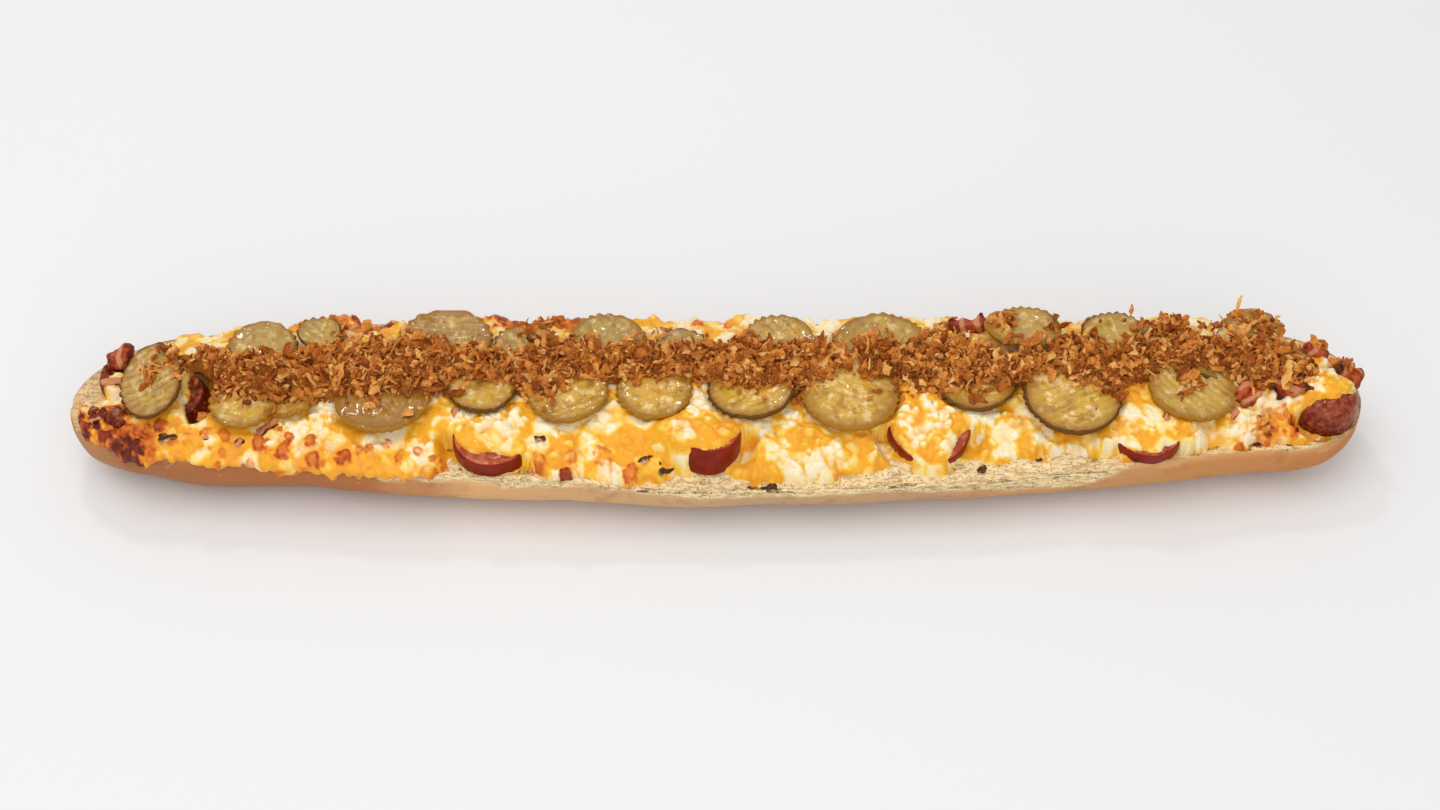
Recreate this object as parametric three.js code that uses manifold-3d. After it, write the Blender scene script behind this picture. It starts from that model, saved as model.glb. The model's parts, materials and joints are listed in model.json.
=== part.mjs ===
// A zapiekanka: a long half baguette, cut side up, under melted cheese with sausage and bacon in it,
// two rows of gherkin slices along the top and a ridge of crisp fried onion down the middle.
//
// Millimetres. +X runs along the loaf, -Y is its front, +Z is up. The origin is on the table, under the
// middle of the loaf. Lengthwise places are also given as s, from -1 at one tip to 1 at the other.

import * as THREE from "three";
import { mergeVertices } from "three/addons/utils/BufferGeometryUtils.js";
import Module from "manifold-3d";

const wasm = await Module();
wasm.setup();

// ---- Driving dimensions ----

const LENGTH = 494; // of the loaf, tip to tip
const HALF_WIDTH = 40.5; // of the cut face, at mid length
const CUT_HEIGHT = 26; // of the cut face's edge above the table
const GAP = 0.3; // air between two pieces that touch
const SAUSAGE = { radius: 13.8, thickness: 6.4 };
const GHERKIN = { thickness: 3, scallop: 0.5, cup: 0.9 };

// ---- Small helpers ----

const lerp = THREE.MathUtils.lerp;
const radians = THREE.MathUtils.degToRad;
const clamp = THREE.MathUtils.clamp;

// Share of the way from a to b, eased at both ends.
const ease = (value, a, b) => THREE.MathUtils.smoothstep(value, a, b);

// 1 between a and b, falling to 0 over the margin outside.
const between = (value, a, b, margin) =>
  ease(value, a - margin, a) * (1 - ease(value, b, b + margin));

// A few sine waves that never line up: an unevenness of about the given size.
function uneven(value, size, seed) {
  const waves = [1, 1.73, 2.91];
  return (
    (size / waves.length) *
    waves.reduce((sum, w, i) => sum + Math.sin(w * value + seed * (i + 1.3)), 0)
  );
}

// ---- The loaf's form ----

const LOAF = {
  taper: 0.32, // share of the width lost from mid length to the tips
  endPower: { left: 16, right: 24 }, // how blunt the rounded tips are
  belly: 3, // the widest line lies this far below the cut face
  depthShare: 1.13, // underside depth over the height, before the base flattens it
  underPower: 2.25, // 2 is an ellipse, more is boxier
  dish: 2.2, // how far the crumb sinks along the middle
  rim: 0.7, // how far the crust stands above the crumb
  shoulder: 3.4, // how far the front edge slopes away where it is pressed down
};

const xOf = (s) => (s * LENGTH) / 2;
const sOf = (x) => (2 * x) / LENGTH;

// The middle line: bowed to the front at mid length and again at the left end, and curled at both tips.
function centreLine(s) {
  const bow = 11.7 * s ** 2 - 3.5;
  const leftEnd = 6 * ease(-s, 0.6, 0.85);
  const tips = 6 * ease(-s, 0.86, 1) + 5.5 * ease(s, 0.78, 0.96);
  return bow - leftEnd - tips;
}

const roundedEnd = (s, power) => Math.sqrt(Math.max(0, 1 - Math.abs(s) ** power));

const halfWidth = (s) =>
  (HALF_WIDTH * (1 - LOAF.taper * s * s) + uneven(9 * s, 0.9, 1)) *
  roundedEnd(s, s < 0 ? LOAF.endPower.left : LOAF.endPower.right);

const cutEdge = (s) => CUT_HEIGHT + uneven(7 * s, 0.7, 2);

// Height of the cut face; t is -1 at the front edge and 1 at the back edge.
function cutFace(s, t) {
  const side = Math.min(1, Math.abs(t));
  const dished = -LOAF.dish * (1 - side ** 2) + LOAF.rim * ease(side, 0.86, 0.97);
  const pressed =
    LOAF.shoulder * ease(-t, 0.7, 1) * between(s, -0.12, 0.52, 0.12);
  return cutEdge(s) + dished * roundedEnd(s, 6) - pressed;
}

// One section of the loaf, from the back edge over the cut face to the front, and back under the base.
// grow moves every face outwards, for cutting a neighbour back to a gap.
function loafRing(s, grow = 0) {
  const ACROSS = 6;
  const UNDER = 8;
  const EDGE_ANGLE = radians(10); // the side leans in above the widest line by this much of its turn
  const y0 = centreLine(s);
  const a = halfWidth(s);
  const widest = cutEdge(s) - LOAF.belly;
  const depth =
    (CUT_HEIGHT - LOAF.belly) * LOAF.depthShare * roundedEnd(s, 14);
  const ring = [];
  for (let i = 0; i <= ACROSS; i++) {
    const t = Math.cos((Math.PI * i) / ACROSS);
    const reach = t * (a - 0.6);
    const outward = Math.sign(reach) * grow * ease(Math.abs(t), 0.8, 1);
    ring.push([y0 + reach + outward, cutFace(s, t) + grow]);
  }
  for (let i = 0; i <= UNDER; i++) {
    const angle = lerp(-EDGE_ANGLE, Math.PI + EDGE_ANGLE, i / UNDER);
    const c = Math.cos(angle);
    const n = Math.sin(angle);
    const out = Math.sign(c) * Math.abs(c) ** (2 / LOAF.underPower);
    const down = Math.sign(n) * Math.abs(n) ** (2 / LOAF.underPower);
    const above = n < 0 ? LOAF.belly * 1.5 : depth;
    const z = widest - down * above - grow * n;
    ring.push([y0 - out * a - grow * c, Math.max(-grow, z)]);
  }
  return ring.map(([y, z]) => new THREE.Vector3(xOf(s), y, z));
}

// ---- Turning outlines into closed geometry ----

// Skins a row of rings, all with the same number of points, and closes both ends with a fan.
function loft(rings) {
  const count = rings[0].length;
  const points = rings.flat();
  const faces = [];
  for (let k = 0; k + 1 < rings.length; k++) {
    for (let i = 0; i < count; i++) {
      const a = k * count + i;
      const b = k * count + ((i + 1) % count);
      faces.push([a, b, b + count], [a, b + count, a + count]);
    }
  }
  for (const [first, flip] of [
    [0, true],
    [(rings.length - 1) * count, false],
  ]) {
    const ring = points.slice(first, first + count);
    const hub = points.length;
    points.push(ring.reduce((sum, p) => sum.add(p), new THREE.Vector3()).divideScalar(count));
    for (let i = 0; i < count; i++) {
      const a = first + i;
      const b = first + ((i + 1) % count);
      faces.push(flip ? [b, a, hub] : [a, b, hub]);
    }
  }
  return geometryOf(points, faces);
}

function geometryOf(points, faces) {
  const geometry = new THREE.BufferGeometry().setFromPoints(points);
  geometry.setIndex(faces.flat());
  return geometry;
}

// Stations from one s to another, closer together towards both ends.
function stations(from, to, count) {
  return Array.from({ length: count + 1 }, (_, i) => {
    const even = (2 * i) / count - 1;
    const packed = lerp(even, Math.sin((even * Math.PI) / 2), 0.85);
    return lerp(from, to, (packed + 1) / 2);
  });
}

function loafGeometry(grow = 0) {
  const TIP = 0.9992;
  return loft(stations(-TIP, TIP, 34).map((s) => loafRing(s, grow)));
}

// ---- Sausage, gherkin and bacon forms, each round its own centre ----

// A profile of [radius, height] corners turned round Z; it starts and ends on the axis.
function turned(corners, sides) {
  const profile = corners.map(([r, z]) => new THREE.Vector2(r, z));
  return new THREE.LatheGeometry(profile, sides).rotateX(Math.PI / 2);
}

// A round slice with eased edges.
function sausageSlice(radius, thickness) {
  const SIDES = 12;
  const EASING = 1.1;
  const h = thickness / 2;
  return turned(
    [
      [0, -h],
      [radius - EASING, -h],
      [radius, -h + EASING],
      [radius, h - EASING],
      [radius - EASING, h],
      [0, h],
    ],
    SIDES,
  );
}

// A plain disc that a slice fits in with the gap to spare. depth carries it further down than that.
function discCutter(radius, low, high, depth = 0) {
  const SIDES = 8;
  const outside = (radius + GAP) / Math.cos(Math.PI / SIDES);
  return turned(
    [
      [0, low - GAP - depth],
      [outside, low - GAP - depth],
      [outside, high + GAP],
      [0, high + GAP],
    ],
    SIDES,
  );
}

// A gherkin slice: an oval with a scalloped edge, cupped a little.
function gherkinSlice(radius, oval) {
  const SIDES = 14;
  const h = GHERKIN.thickness / 2;
  const points = [new THREE.Vector3(0, 0, h), new THREE.Vector3(0, 0, -h)];
  for (const z of [h, -h]) {
    for (let i = 0; i < SIDES; i++) {
      const angle = (2 * Math.PI * i) / SIDES;
      const r = radius + GHERKIN.scallop * (i % 2 ? 1 : -1);
      points.push(
        new THREE.Vector3(r * Math.cos(angle), r * oval * Math.sin(angle), z + GHERKIN.cup),
      );
    }
  }
  const faces = [];
  for (let i = 0; i < SIDES; i++) {
    const j = (i + 1) % SIDES;
    const [top, low] = [2, 2 + SIDES];
    faces.push([0, top + i, top + j], [1, low + j, low + i]);
    faces.push([top + i, low + i, low + j], [top + i, low + j, top + j]);
  }
  return geometryOf(points, faces);
}

function gherkinCutter(radius, oval, depth) {
  const h = GHERKIN.thickness / 2;
  return discCutter(radius + GHERKIN.scallop, -h, h + GHERKIN.cup, depth).scale(1, oval, 1);
}

// A diced piece with soft, uneven corners, inside a box of the given size.
function dicedPiece(size, seed) {
  const ROUNDING = 0.24;
  const box = new THREE.BoxGeometry(1, 1, 1, 2, 2, 2);
  const at = box.getAttribute("position");
  for (let i = 0; i < at.count; i++) {
    const p = new THREE.Vector3().fromBufferAttribute(at, i).multiplyScalar(2);
    const ball = p.clone().normalize().multiplyScalar(1.25);
    p.lerp(ball, ROUNDING);
    const dented = 0.84 + uneven(2.1 * p.x + 3.3 * p.y + 2.7 * p.z, 0.1, seed);
    p.multiplyScalar(dented * 0.5);
    p.set(p.x * size[0], p.y * size[1], p.z * size[2]);
    at.setXYZ(i, p.x, p.y, p.z);
  }
  return box;
}

// ---- Where everything lies ----

// Sausage slices: x, y of the centre, shares of the usual radius and thickness, and in degrees the pitch
// towards the front and the roll to the right.
const SAUSAGES = [
  { x: -229, y: 5, share: 0.74, thick: 1.1, pitch: 3, roll: -8 },
  { x: -203, y: -4, share: 0.62, thick: 1, pitch: 0, roll: -30 },
  { x: -84, y: -21.5, share: 1, thick: 1, pitch: 8, roll: 0 },
  { x: -3, y: -23.5, share: 0.86, thick: 1.4, pitch: -10, roll: -6 },
  { x: 80, y: -17, share: 1.08, thick: 0.9, pitch: 8, roll: -4 },
  { x: 161, y: -18, share: 0.93, thick: 1, pitch: 8, roll: 3 },
  { x: 230, y: -5, share: 0.84, thick: 1.2, pitch: 6, roll: 5 },
];

// Gherkin slices of the front row, then of the back row, left to right, as above. oval is the share of
// the radius across the loaf, and lift raises a slice that leans on its neighbour.
const FRONT_SLICES = [
  { x: -212.5, y: -4, radius: 12.2, oval: 1.33, pitch: 14, roll: -18, lift: 3 },
  { x: -178, y: -11.5, radius: 12.6, oval: 1, pitch: 5, roll: 3, lift: 2.4 },
  { x: -162, y: -6, radius: 12.6, oval: 0.95, pitch: 4, roll: 4, lift: 0.4 },
  { x: -126, y: -9.5, radius: 18, oval: 0.95, pitch: 4, roll: 0, lift: 0.8 },
  { x: -88, y: -5.5, radius: 13.5, oval: 0.95, pitch: 0, roll: -5, lift: 0.6 },
  { x: -56.5, y: -7, radius: 15.4, oval: 1, pitch: 3, roll: 5, lift: 0.8 },
  { x: -23.5, y: -6, radius: 14.2, oval: 1, pitch: 0, roll: -3, lift: 0.5 },
  { x: 13, y: -7, radius: 16.4, oval: 0.92, pitch: -12, roll: -7, lift: 1.8 },
  { x: 50, y: -8.5, radius: 18.4, oval: 0.92, pitch: 6, roll: 0, lift: 0.6 },
  { x: 98, y: -1, radius: 16, oval: 1, pitch: 3, roll: -9, lift: 1.2 },
  { x: 134, y: -8.5, radius: 19, oval: 0.98, pitch: 7, roll: 2, lift: 0.8 },
  { x: 179, y: -6, radius: 17.4, oval: 0.86, pitch: 6, roll: 9, lift: 1 },
];
const BACK_SLICES = [
  { x: -175, y: 16, radius: 13.6, oval: 0.95, pitch: -2, roll: -4, lift: 0.8 },
  { x: -154, y: 22, radius: 8.5, oval: 1, pitch: -6, roll: 14, lift: 1.6 },
  { x: -105, y: 19.5, radius: 18.2, oval: 0.78, pitch: -4, roll: 2, lift: 1.2 },
  { x: -73, y: 14.5, radius: 12.8, oval: 1, pitch: 2, roll: -4, lift: 1 },
  { x: -42, y: 18.5, radius: 14.6, oval: 0.88, pitch: -2, roll: 12, lift: 1.8 },
  { x: -13, y: 13, radius: 12, oval: 0.95, pitch: 0, roll: -3, lift: 0.6 },
  { x: 24, y: 18.5, radius: 14.2, oval: 0.9, pitch: 2, roll: -5, lift: 0.8 },
  { x: 62, y: 15.5, radius: 18.8, oval: 0.86, pitch: 2, roll: 3, lift: 2.4 },
  { x: 118, y: 23.5, radius: 15.2, oval: 0.82, pitch: -14, roll: 4, lift: 4 },
  { x: 155, y: 18.5, radius: 16, oval: 0.82, pitch: -2, roll: 16, lift: 2.2 },
  { x: 188, y: 8, radius: 10.5, oval: 0.92, pitch: 4, roll: -4, lift: 1.4 },
  { x: 207, y: 24, radius: 11.2, oval: 0.86, pitch: -6, roll: 2, lift: 3.2 },
  { x: 217.5, y: 10, radius: 7.2, oval: 1, pitch: 12, roll: 10, lift: 2.2 },
];

// Diced bacon and ham: the centre, the size, the turn about Z in degrees, and the height above the cheese.
const BACON = [
  { x: -228, y: 10, size: [10, 9, 8], turn: 20, lift: 1.5 },
  { x: -236, y: -12, size: [9, 8, 7], turn: 50, lift: 0.4 },
  { x: -226, y: -16, size: [13, 9, 7], turn: -30, lift: 0.6 },
  { x: 98, y: 30, size: [17, 8, 7], turn: 15, lift: 0.6 },
  { x: 201, y: -6, size: [14, 10, 8], turn: 60, lift: 0.8 },
  { x: 217, y: -5, size: [15, 9, 8], turn: 10, lift: 2.4 },
  { x: 177, y: 29, size: [14, 8, 7], turn: -10, lift: 0.8 },
  { x: 231, y: 16, size: [11, 9, 7], turn: 35, lift: 1.2 },
  { x: 240, y: 3, size: [12, 9, 8], turn: -15, lift: 2.6 },
];

// ---- The cheese ----

const CHEESE = {
  from: -0.955,
  to: 0.972,
  edge: 1.6, // thickness at its outline
  mound: 9.5, // further thickness along the middle
  bank: 2, // further thickness along the back edge
  hang: 6, // how far below the cut face a run of cheese reaches over the crust
};

// How far the cheese reaches past the crust's edge, at the front and at the back.
const frontReach = (s) =>
  -2.4 +
  uneven(31 * s, 1.4, 3) +
  3.8 * between(s, -0.94, -0.42, 0.05) -
  1.6 * between(s, 0.12, 0.6, 0.08);
const backReach = (s) =>
  0.6 + uneven(27 * s, 1.4, 5) - 7 * ease(-s, 0.82, 0.93) - 3 * ease(s, 0.86, 0.96);

// The plane through a sausage slice's middle: it lies on the crumb, and the lower edge touches it.
function sausageHeight(slice, x, y) {
  const s = sOf(slice.x);
  const crumb = cutFace(s, (slice.y - centreLine(s)) / halfWidth(s));
  const radius = SAUSAGE.radius * slice.share;
  const raised = Math.sin(radians(Math.abs(slice.pitch))) * radius;
  const middle = crumb + (SAUSAGE.thickness * slice.thick) / 2 + raised + 1;
  return (
    middle +
    (y - slice.y) * Math.tan(radians(slice.pitch)) -
    (x - slice.x) * Math.tan(radians(slice.roll))
  );
}

// The cheese drapes over each sausage slice, but leaves its front edge bare.
function drape(height, x, y) {
  const FILM = 1.3;
  return SAUSAGES.reduce((top, slice) => {
    const radius = SAUSAGE.radius * slice.share;
    const away = Math.hypot(x - slice.x, y - slice.y - 0.22 * radius) / radius;
    const over = sausageHeight(slice, x, y) + (SAUSAGE.thickness * slice.thick) / 2 + FILM;
    return lerp(top, Math.max(top, over), 1 - ease(away, 0.75, 1.1));
  }, height);
}

// Height of the cheese's top over a place on the loaf.
function cheeseTop(x, y) {
  const s = clamp(sOf(x), -0.995, 0.995);
  const t = (y - centreLine(s)) / Math.max(8, halfWidth(s));
  const across = clamp(Math.abs(t), 0, 1);
  const overEdge = Math.max(0, Math.abs(t) - 1) * halfWidth(s);
  const mound = CHEESE.mound * (1 - across ** 2.3) * roundedEnd(s, 9);
  const backBank = CHEESE.bank * ease(t, 0.4, 0.85) * between(s, -0.72, 0.86, 0.08);
  const rough = uneven(0.19 * x + 0.13 * y, 0.8, 4) + uneven(0.31 * y - 0.11 * x, 0.6, 6);
  const height = cutFace(s, t) + CHEESE.edge + mound + backBank + rough - 0.9 * overEdge;
  return drape(height, x, y);
}

// The cheese before it is cut back to the loaf and to what is bedded in it.
function rawCheese() {
  const ACROSS = 8;
  const rings = stations(CHEESE.from, CHEESE.to, 34).map((s) => {
    const middle = (CHEESE.from + CHEESE.to) / 2;
    const end = roundedEnd(((s - middle) * 1.998) / (CHEESE.to - CHEESE.from), 12);
    const y0 = centreLine(s);
    const front = (halfWidth(s) + frontReach(s)) * end;
    const back = (halfWidth(s) + backReach(s)) * end;
    const ring = [];
    for (let i = 0; i <= ACROSS; i++) {
      const y = y0 + lerp(back, -front, (1 - Math.cos((Math.PI * i) / ACROSS)) / 2);
      ring.push(new THREE.Vector3(xOf(s), y, cheeseTop(xOf(s), y)));
    }
    const under = cutEdge(s) - (CHEESE.hang + uneven(41 * s, 3, 2)) * end;
    ring.push(new THREE.Vector3(xOf(s), y0 - front * 0.98, under));
    ring.push(new THREE.Vector3(xOf(s), y0 + back * 0.98, under));
    return ring;
  });
  return loft(rings);
}

// ---- The heap of fried onion ----

const HEAP = { from: -0.84, to: 0.91, halfWidth: 12.8, height: 9, clumps: 2 };

// The heap's middle line, spilt to the front at the left and to the back at the right.
const ridgeLine = (s) =>
  3.5 + uneven(11 * s, 2, 8) - 4 * ease(-s, 0.45, 0.7) + 3 * ease(s, 0.3, 0.75);

function heapGeometry() {
  const ACROSS = 5;
  const BED = 1.7; // the heap's underside over the cheese
  const rings = stations(HEAP.from, HEAP.to, 32).map((s, k) => {
    const middle = (HEAP.from + HEAP.to) / 2;
    const end = roundedEnd(((s - middle) * 1.998) / (HEAP.to - HEAP.from), 12);
    const x = xOf(s);
    const reach = (HEAP.halfWidth + uneven(37 * s, 3.2, 9)) * end;
    const at = (u, height) => {
      const y = ridgeLine(s) + u * reach;
      return new THREE.Vector3(x, y, cheeseTop(x, y) + BED + height);
    };
    const ring = [];
    for (let i = 0; i <= ACROSS; i++) {
      const u = Math.cos((Math.PI * i) / ACROSS);
      const clump = HEAP.clumps * Math.sin(2.4 * k + 3.7 * i) * Math.cos(1.3 * k - 2.1 * i);
      const height = (HEAP.height + uneven(43 * s, 2, 7)) * end * (1 - u ** 4) + clump;
      ring.push(at(u, Math.max(0.8, height)));
    }
    for (const u of [-0.6, 0.6]) {
      ring.push(at(u, 0));
    }
    return ring;
  });
  return loft(rings);
}

// ---- Setting pieces down on the cheese ----

// Turns and moves a geometry so that it lies on the cheese at x, y, raised by lift.
function settle(geometry, { x, y, lift = 0, pitch = 0, roll = 0, turn = 0 }) {
  const STEP = 7;
  const z = cheeseTop(x, y);
  const slopeX = (cheeseTop(x + STEP, y) - cheeseTop(x - STEP, y)) / (2 * STEP);
  const slopeY = (cheeseTop(x, y + STEP) - cheeseTop(x, y - STEP)) / (2 * STEP);
  const upright = new THREE.Vector3(-slopeX * 0.6, -slopeY, 1).normalize();
  const lean = new THREE.Quaternion().setFromUnitVectors(new THREE.Vector3(0, 0, 1), upright);
  return geometry
    .clone()
    .applyQuaternion(leaning(pitch, roll, turn))
    .applyQuaternion(lean)
    .translate(x, y, z + lift);
}

const leaning = (pitch, roll, turn = 0) =>
  new THREE.Quaternion().setFromEuler(
    new THREE.Euler(radians(pitch), radians(roll), radians(turn), "YXZ"),
  );

// Beds a sausage slice on the crumb.
const bed = (geometry, slice) =>
  geometry
    .clone()
    .applyQuaternion(leaning(slice.pitch, slice.roll))
    .translate(slice.x, slice.y, sausageHeight(slice, slice.x, slice.y));

// ---- Solids and booleans ----

function solidOf(geometry) {
  const bare = new THREE.BufferGeometry();
  bare.setAttribute("position", geometry.getAttribute("position"));
  bare.setIndex(geometry.index);
  const merged = mergeVertices(bare, 1e-4);
  return new wasm.Manifold(
    new wasm.Mesh({
      numProp: 3,
      vertProperties: merged.getAttribute("position").array,
      triVerts: new Uint32Array(merged.index.array),
    }),
  );
}

// The solid less each of the cutters, without the crumbs that a cut leaves loose.
function cutBack(solid, cutters) {
  const left = cutters.reduce((rest, cutter) => rest.subtract(cutter), solid);
  return left.decompose().sort((a, b) => b.volume() - a.volume())[0];
}

function geometryOfSolid(solid) {
  const { numProp, vertProperties, triVerts, numVert } = solid.getMesh();
  const points = Array.from({ length: numVert }, (_, i) =>
    new THREE.Vector3().fromArray(vertProperties, i * numProp),
  );
  const geometry = new THREE.BufferGeometry().setFromPoints(points);
  geometry.setIndex(Array.from(triVerts));
  geometry.computeVertexNormals();
  return geometry;
}

// ---- Building the pieces ----

const zapiekanka = new THREE.Group();
const finishes = {
  crust: { color: 0xc08a50, roughness: 0.75 },
  cheese: { color: 0xf2c56a, roughness: 0.4 },
  sausage: { color: 0x8f3a1c, roughness: 0.45 },
  gherkin: { color: 0xb59a4c, roughness: 0.35 },
  bacon: { color: 0x94432f, roughness: 0.5 },
  onion: { color: 0xa9682f, roughness: 0.8 },
};
const materials = Object.fromEntries(
  Object.entries(finishes).map(([name, finish]) => [
    name,
    new THREE.MeshStandardMaterial({ ...finish, metalness: 0 }),
  ]),
);

function addPiece(name, solid, material) {
  const mesh = new THREE.Mesh(geometryOfSolid(solid), materials[material]);
  mesh.name = name;
  zapiekanka.add(mesh);
}

const numbered = (name, index) => `${name}_${String(index + 1).padStart(2, "0")}`;

const loaf = solidOf(loafGeometry());
const loafCutter = solidOf(loafGeometry(GAP));
addPiece("loaf", loaf, "crust");

const sausageCutters = [];
SAUSAGES.forEach((slice, i) => {
  const radius = SAUSAGE.radius * slice.share;
  const thickness = SAUSAGE.thickness * slice.thick;
  const form = solidOf(bed(sausageSlice(radius, thickness), slice));
  addPiece(numbered("sausage_slice", i), cutBack(form, [loafCutter]), "sausage");
  sausageCutters.push(solidOf(bed(discCutter(radius, -thickness / 2, thickness / 2, 4), slice)));
});

const baconCutters = [];
BACON.forEach((place, i) => {
  const form = solidOf(settle(dicedPiece(place.size, i), place));
  const piece = cutBack(form, [loafCutter, ...sausageCutters, ...baconCutters]);
  addPiece(numbered("bacon_piece", i), piece, "bacon");
  const room = place.size.map((side) => side + 2 * GAP);
  baconCutters.push(solidOf(settle(new THREE.BoxGeometry(...room), place)));
});

// Under each gherkin slice there is a deep cutter for the heap, so that no onion is left below it.
const gherkinCutters = [];
const deepCutters = [];
[...FRONT_SLICES, ...BACK_SLICES].forEach((place, i) => {
  const DEPTH = 9;
  const raised = { ...place, lift: place.lift + GHERKIN.thickness / 2 };
  const cutter = (depth) =>
    solidOf(settle(gherkinCutter(place.radius, place.oval, depth), raised));
  const form = solidOf(settle(gherkinSlice(place.radius, place.oval), raised));
  const neighbours = [...gherkinCutters, ...sausageCutters, ...baconCutters, loafCutter];
  addPiece(numbered("gherkin_slice", i), cutBack(form, neighbours), "gherkin");
  gherkinCutters.push(cutter(0));
  deepCutters.push(cutter(DEPTH));
});

const cheese = cutBack(solidOf(rawCheese()), [
  loafCutter,
  ...sausageCutters,
  ...baconCutters,
  ...gherkinCutters,
]);
addPiece("melted_cheese", cheese, "cheese");

const heap = cutBack(solidOf(heapGeometry()), [...deepCutters, ...sausageCutters, ...baconCutters]);
addPiece("fried_onion_heap", heap, "onion");

// Centred over the origin.
const box = new THREE.Box3().setFromObject(zapiekanka);
zapiekanka.position.set(-(box.min.x + box.max.x) / 2, -(box.min.y + box.max.y) / 2, 0);

export default zapiekanka;
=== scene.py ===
"""Looks of a zapiekanka: half a long baguette under melted cheese, sausage, gherkin and fried onion.

The forms are worked out in millimetres and become metres when a mesh is made. +X runs along the
loaf, -Y is its front, +Z is up. A place along the loaf is also given as s, from -1 to 1, and one
across it as t, from -1 at the front edge of the cut face to 1 at the back edge.
"""
import itertools
import json
import logging
import math
from collections.abc import Callable, Iterator
from dataclasses import dataclass, field, replace
from enum import Enum
from typing import TypeVar

import bmesh
import bpy
import numpy as np
from bpy.types import ID, Collection, Material, Mesh, Node, NodeSocket, NodeTree, Object
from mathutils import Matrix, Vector
from mathutils.bvhtree import BVHTree

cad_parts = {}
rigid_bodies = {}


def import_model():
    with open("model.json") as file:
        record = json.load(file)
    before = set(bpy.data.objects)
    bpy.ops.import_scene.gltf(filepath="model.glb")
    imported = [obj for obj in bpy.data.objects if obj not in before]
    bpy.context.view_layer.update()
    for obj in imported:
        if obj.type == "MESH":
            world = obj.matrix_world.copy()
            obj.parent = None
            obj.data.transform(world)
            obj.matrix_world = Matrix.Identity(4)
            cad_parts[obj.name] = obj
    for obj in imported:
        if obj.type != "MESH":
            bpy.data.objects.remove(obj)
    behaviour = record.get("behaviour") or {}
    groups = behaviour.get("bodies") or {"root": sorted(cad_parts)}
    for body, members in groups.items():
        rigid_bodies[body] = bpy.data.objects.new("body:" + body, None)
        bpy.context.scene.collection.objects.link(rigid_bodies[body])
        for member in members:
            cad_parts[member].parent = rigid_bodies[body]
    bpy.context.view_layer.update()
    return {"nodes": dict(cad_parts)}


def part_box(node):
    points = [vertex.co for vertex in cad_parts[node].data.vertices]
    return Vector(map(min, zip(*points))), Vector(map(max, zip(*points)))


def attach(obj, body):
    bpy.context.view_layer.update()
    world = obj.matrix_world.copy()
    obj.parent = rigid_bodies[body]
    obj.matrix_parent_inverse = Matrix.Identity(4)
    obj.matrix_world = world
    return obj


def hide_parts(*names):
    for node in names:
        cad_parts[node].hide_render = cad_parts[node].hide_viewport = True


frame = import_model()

LOG = logging.getLogger("zapiekanka")
MM = 0.001
BODY = "root"
Array = np.ndarray
Colour = tuple[float, float, float, float]
Ramp = tuple[tuple[float, Colour], ...]
Kind = TypeVar("Kind")


# ---- Numbers ----


def ease(value: Array, low: float, high: float) -> Array:
    """Rises from 0 at low to 1 at high, eased at both ends."""
    share = np.clip((value - low) / (high - low), 0.0, 1.0)
    return share * share * (3.0 - 2.0 * share)


def between(value: Array, low: float, high: float, margin: float) -> Array:
    """Is 1 from low to high and falls to 0 over the margin outside."""
    return ease(value, low - margin, low) * (1.0 - ease(value, high, high + margin))


def uneven(value: Array, size: float, seed: float) -> Array:
    """Adds up a few sine waves that never line up, to an unevenness of about the given size."""
    waves = (1.0, 1.73, 2.91)
    return size / len(waves) * sum(np.sin(w * value + seed * (i + 1.3)) for i, w in enumerate(waves))


def rounded_end(s: Array, power: float) -> Array:
    """Share of the full width that is left at s, towards an end of the given bluntness."""
    return np.sqrt(np.maximum(0.0, 1.0 - np.abs(s) ** power))


def spanned(s: Array, start: float, stop: float, power: float) -> Array:
    """Share of the full width at s, for a form that goes from start to stop."""
    return rounded_end((s - (start + stop) / 2.0) * 1.998 / (stop - start), power)


def at(x: Array | float, y: Array | float, z: Array | float = 0.0) -> Array:
    """Points, or ways, from their three numbers."""
    return np.stack(np.broadcast_arrays(x, y, z), axis=-1)


def runs(stop: float, *parts: tuple[float, int]) -> Array:
    """Values in runs of even steps, as a row.

    Args:
        stop: the last value.
        parts: where each run starts, and how many values it has.

    Returns:
        The values. Each run goes up to the next one's start, and the last one includes the stop.
    """
    (start, count), ends = parts[-1], [start for start, _ in parts[1:]]
    rows = [np.linspace(low, high, size, endpoint=False) for (low, size), high in zip(parts, ends)]
    return np.concatenate([*rows, np.linspace(start, stop, count)])[None, :]


def round_about(sides: int) -> Array:
    """Even angles once round, as a row."""
    return np.linspace(0.0, 2 * math.pi, sides, endpoint=False)[None, :]


def each(kind: type[Kind], *rows: tuple[float, ...]) -> tuple[Kind, ...]:
    """Makes one of a kind from each row of its values."""
    return tuple(kind(*row) for row in rows)


def lattice(cell: Array, seed: int) -> Array:
    """Gives each whole-numbered point of space a random value.

    Args:
        cell: whole numbers, three in the last axis.
        seed: another seed gives other values.

    Returns:
        Values from 0 to 1, one for each point.
    """
    mask = 0xFFFFFFFF
    mixed = (cell @ np.array([374761393, 668265263, 1440662683]) + seed * 1274126177) & mask
    mixed = ((mixed ^ (mixed >> 13)) * 1103515245) & mask
    mixed = ((mixed ^ (mixed >> 15)) * 1274126177) & mask
    return (mixed ^ (mixed >> 16)) / 2.0**32


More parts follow.
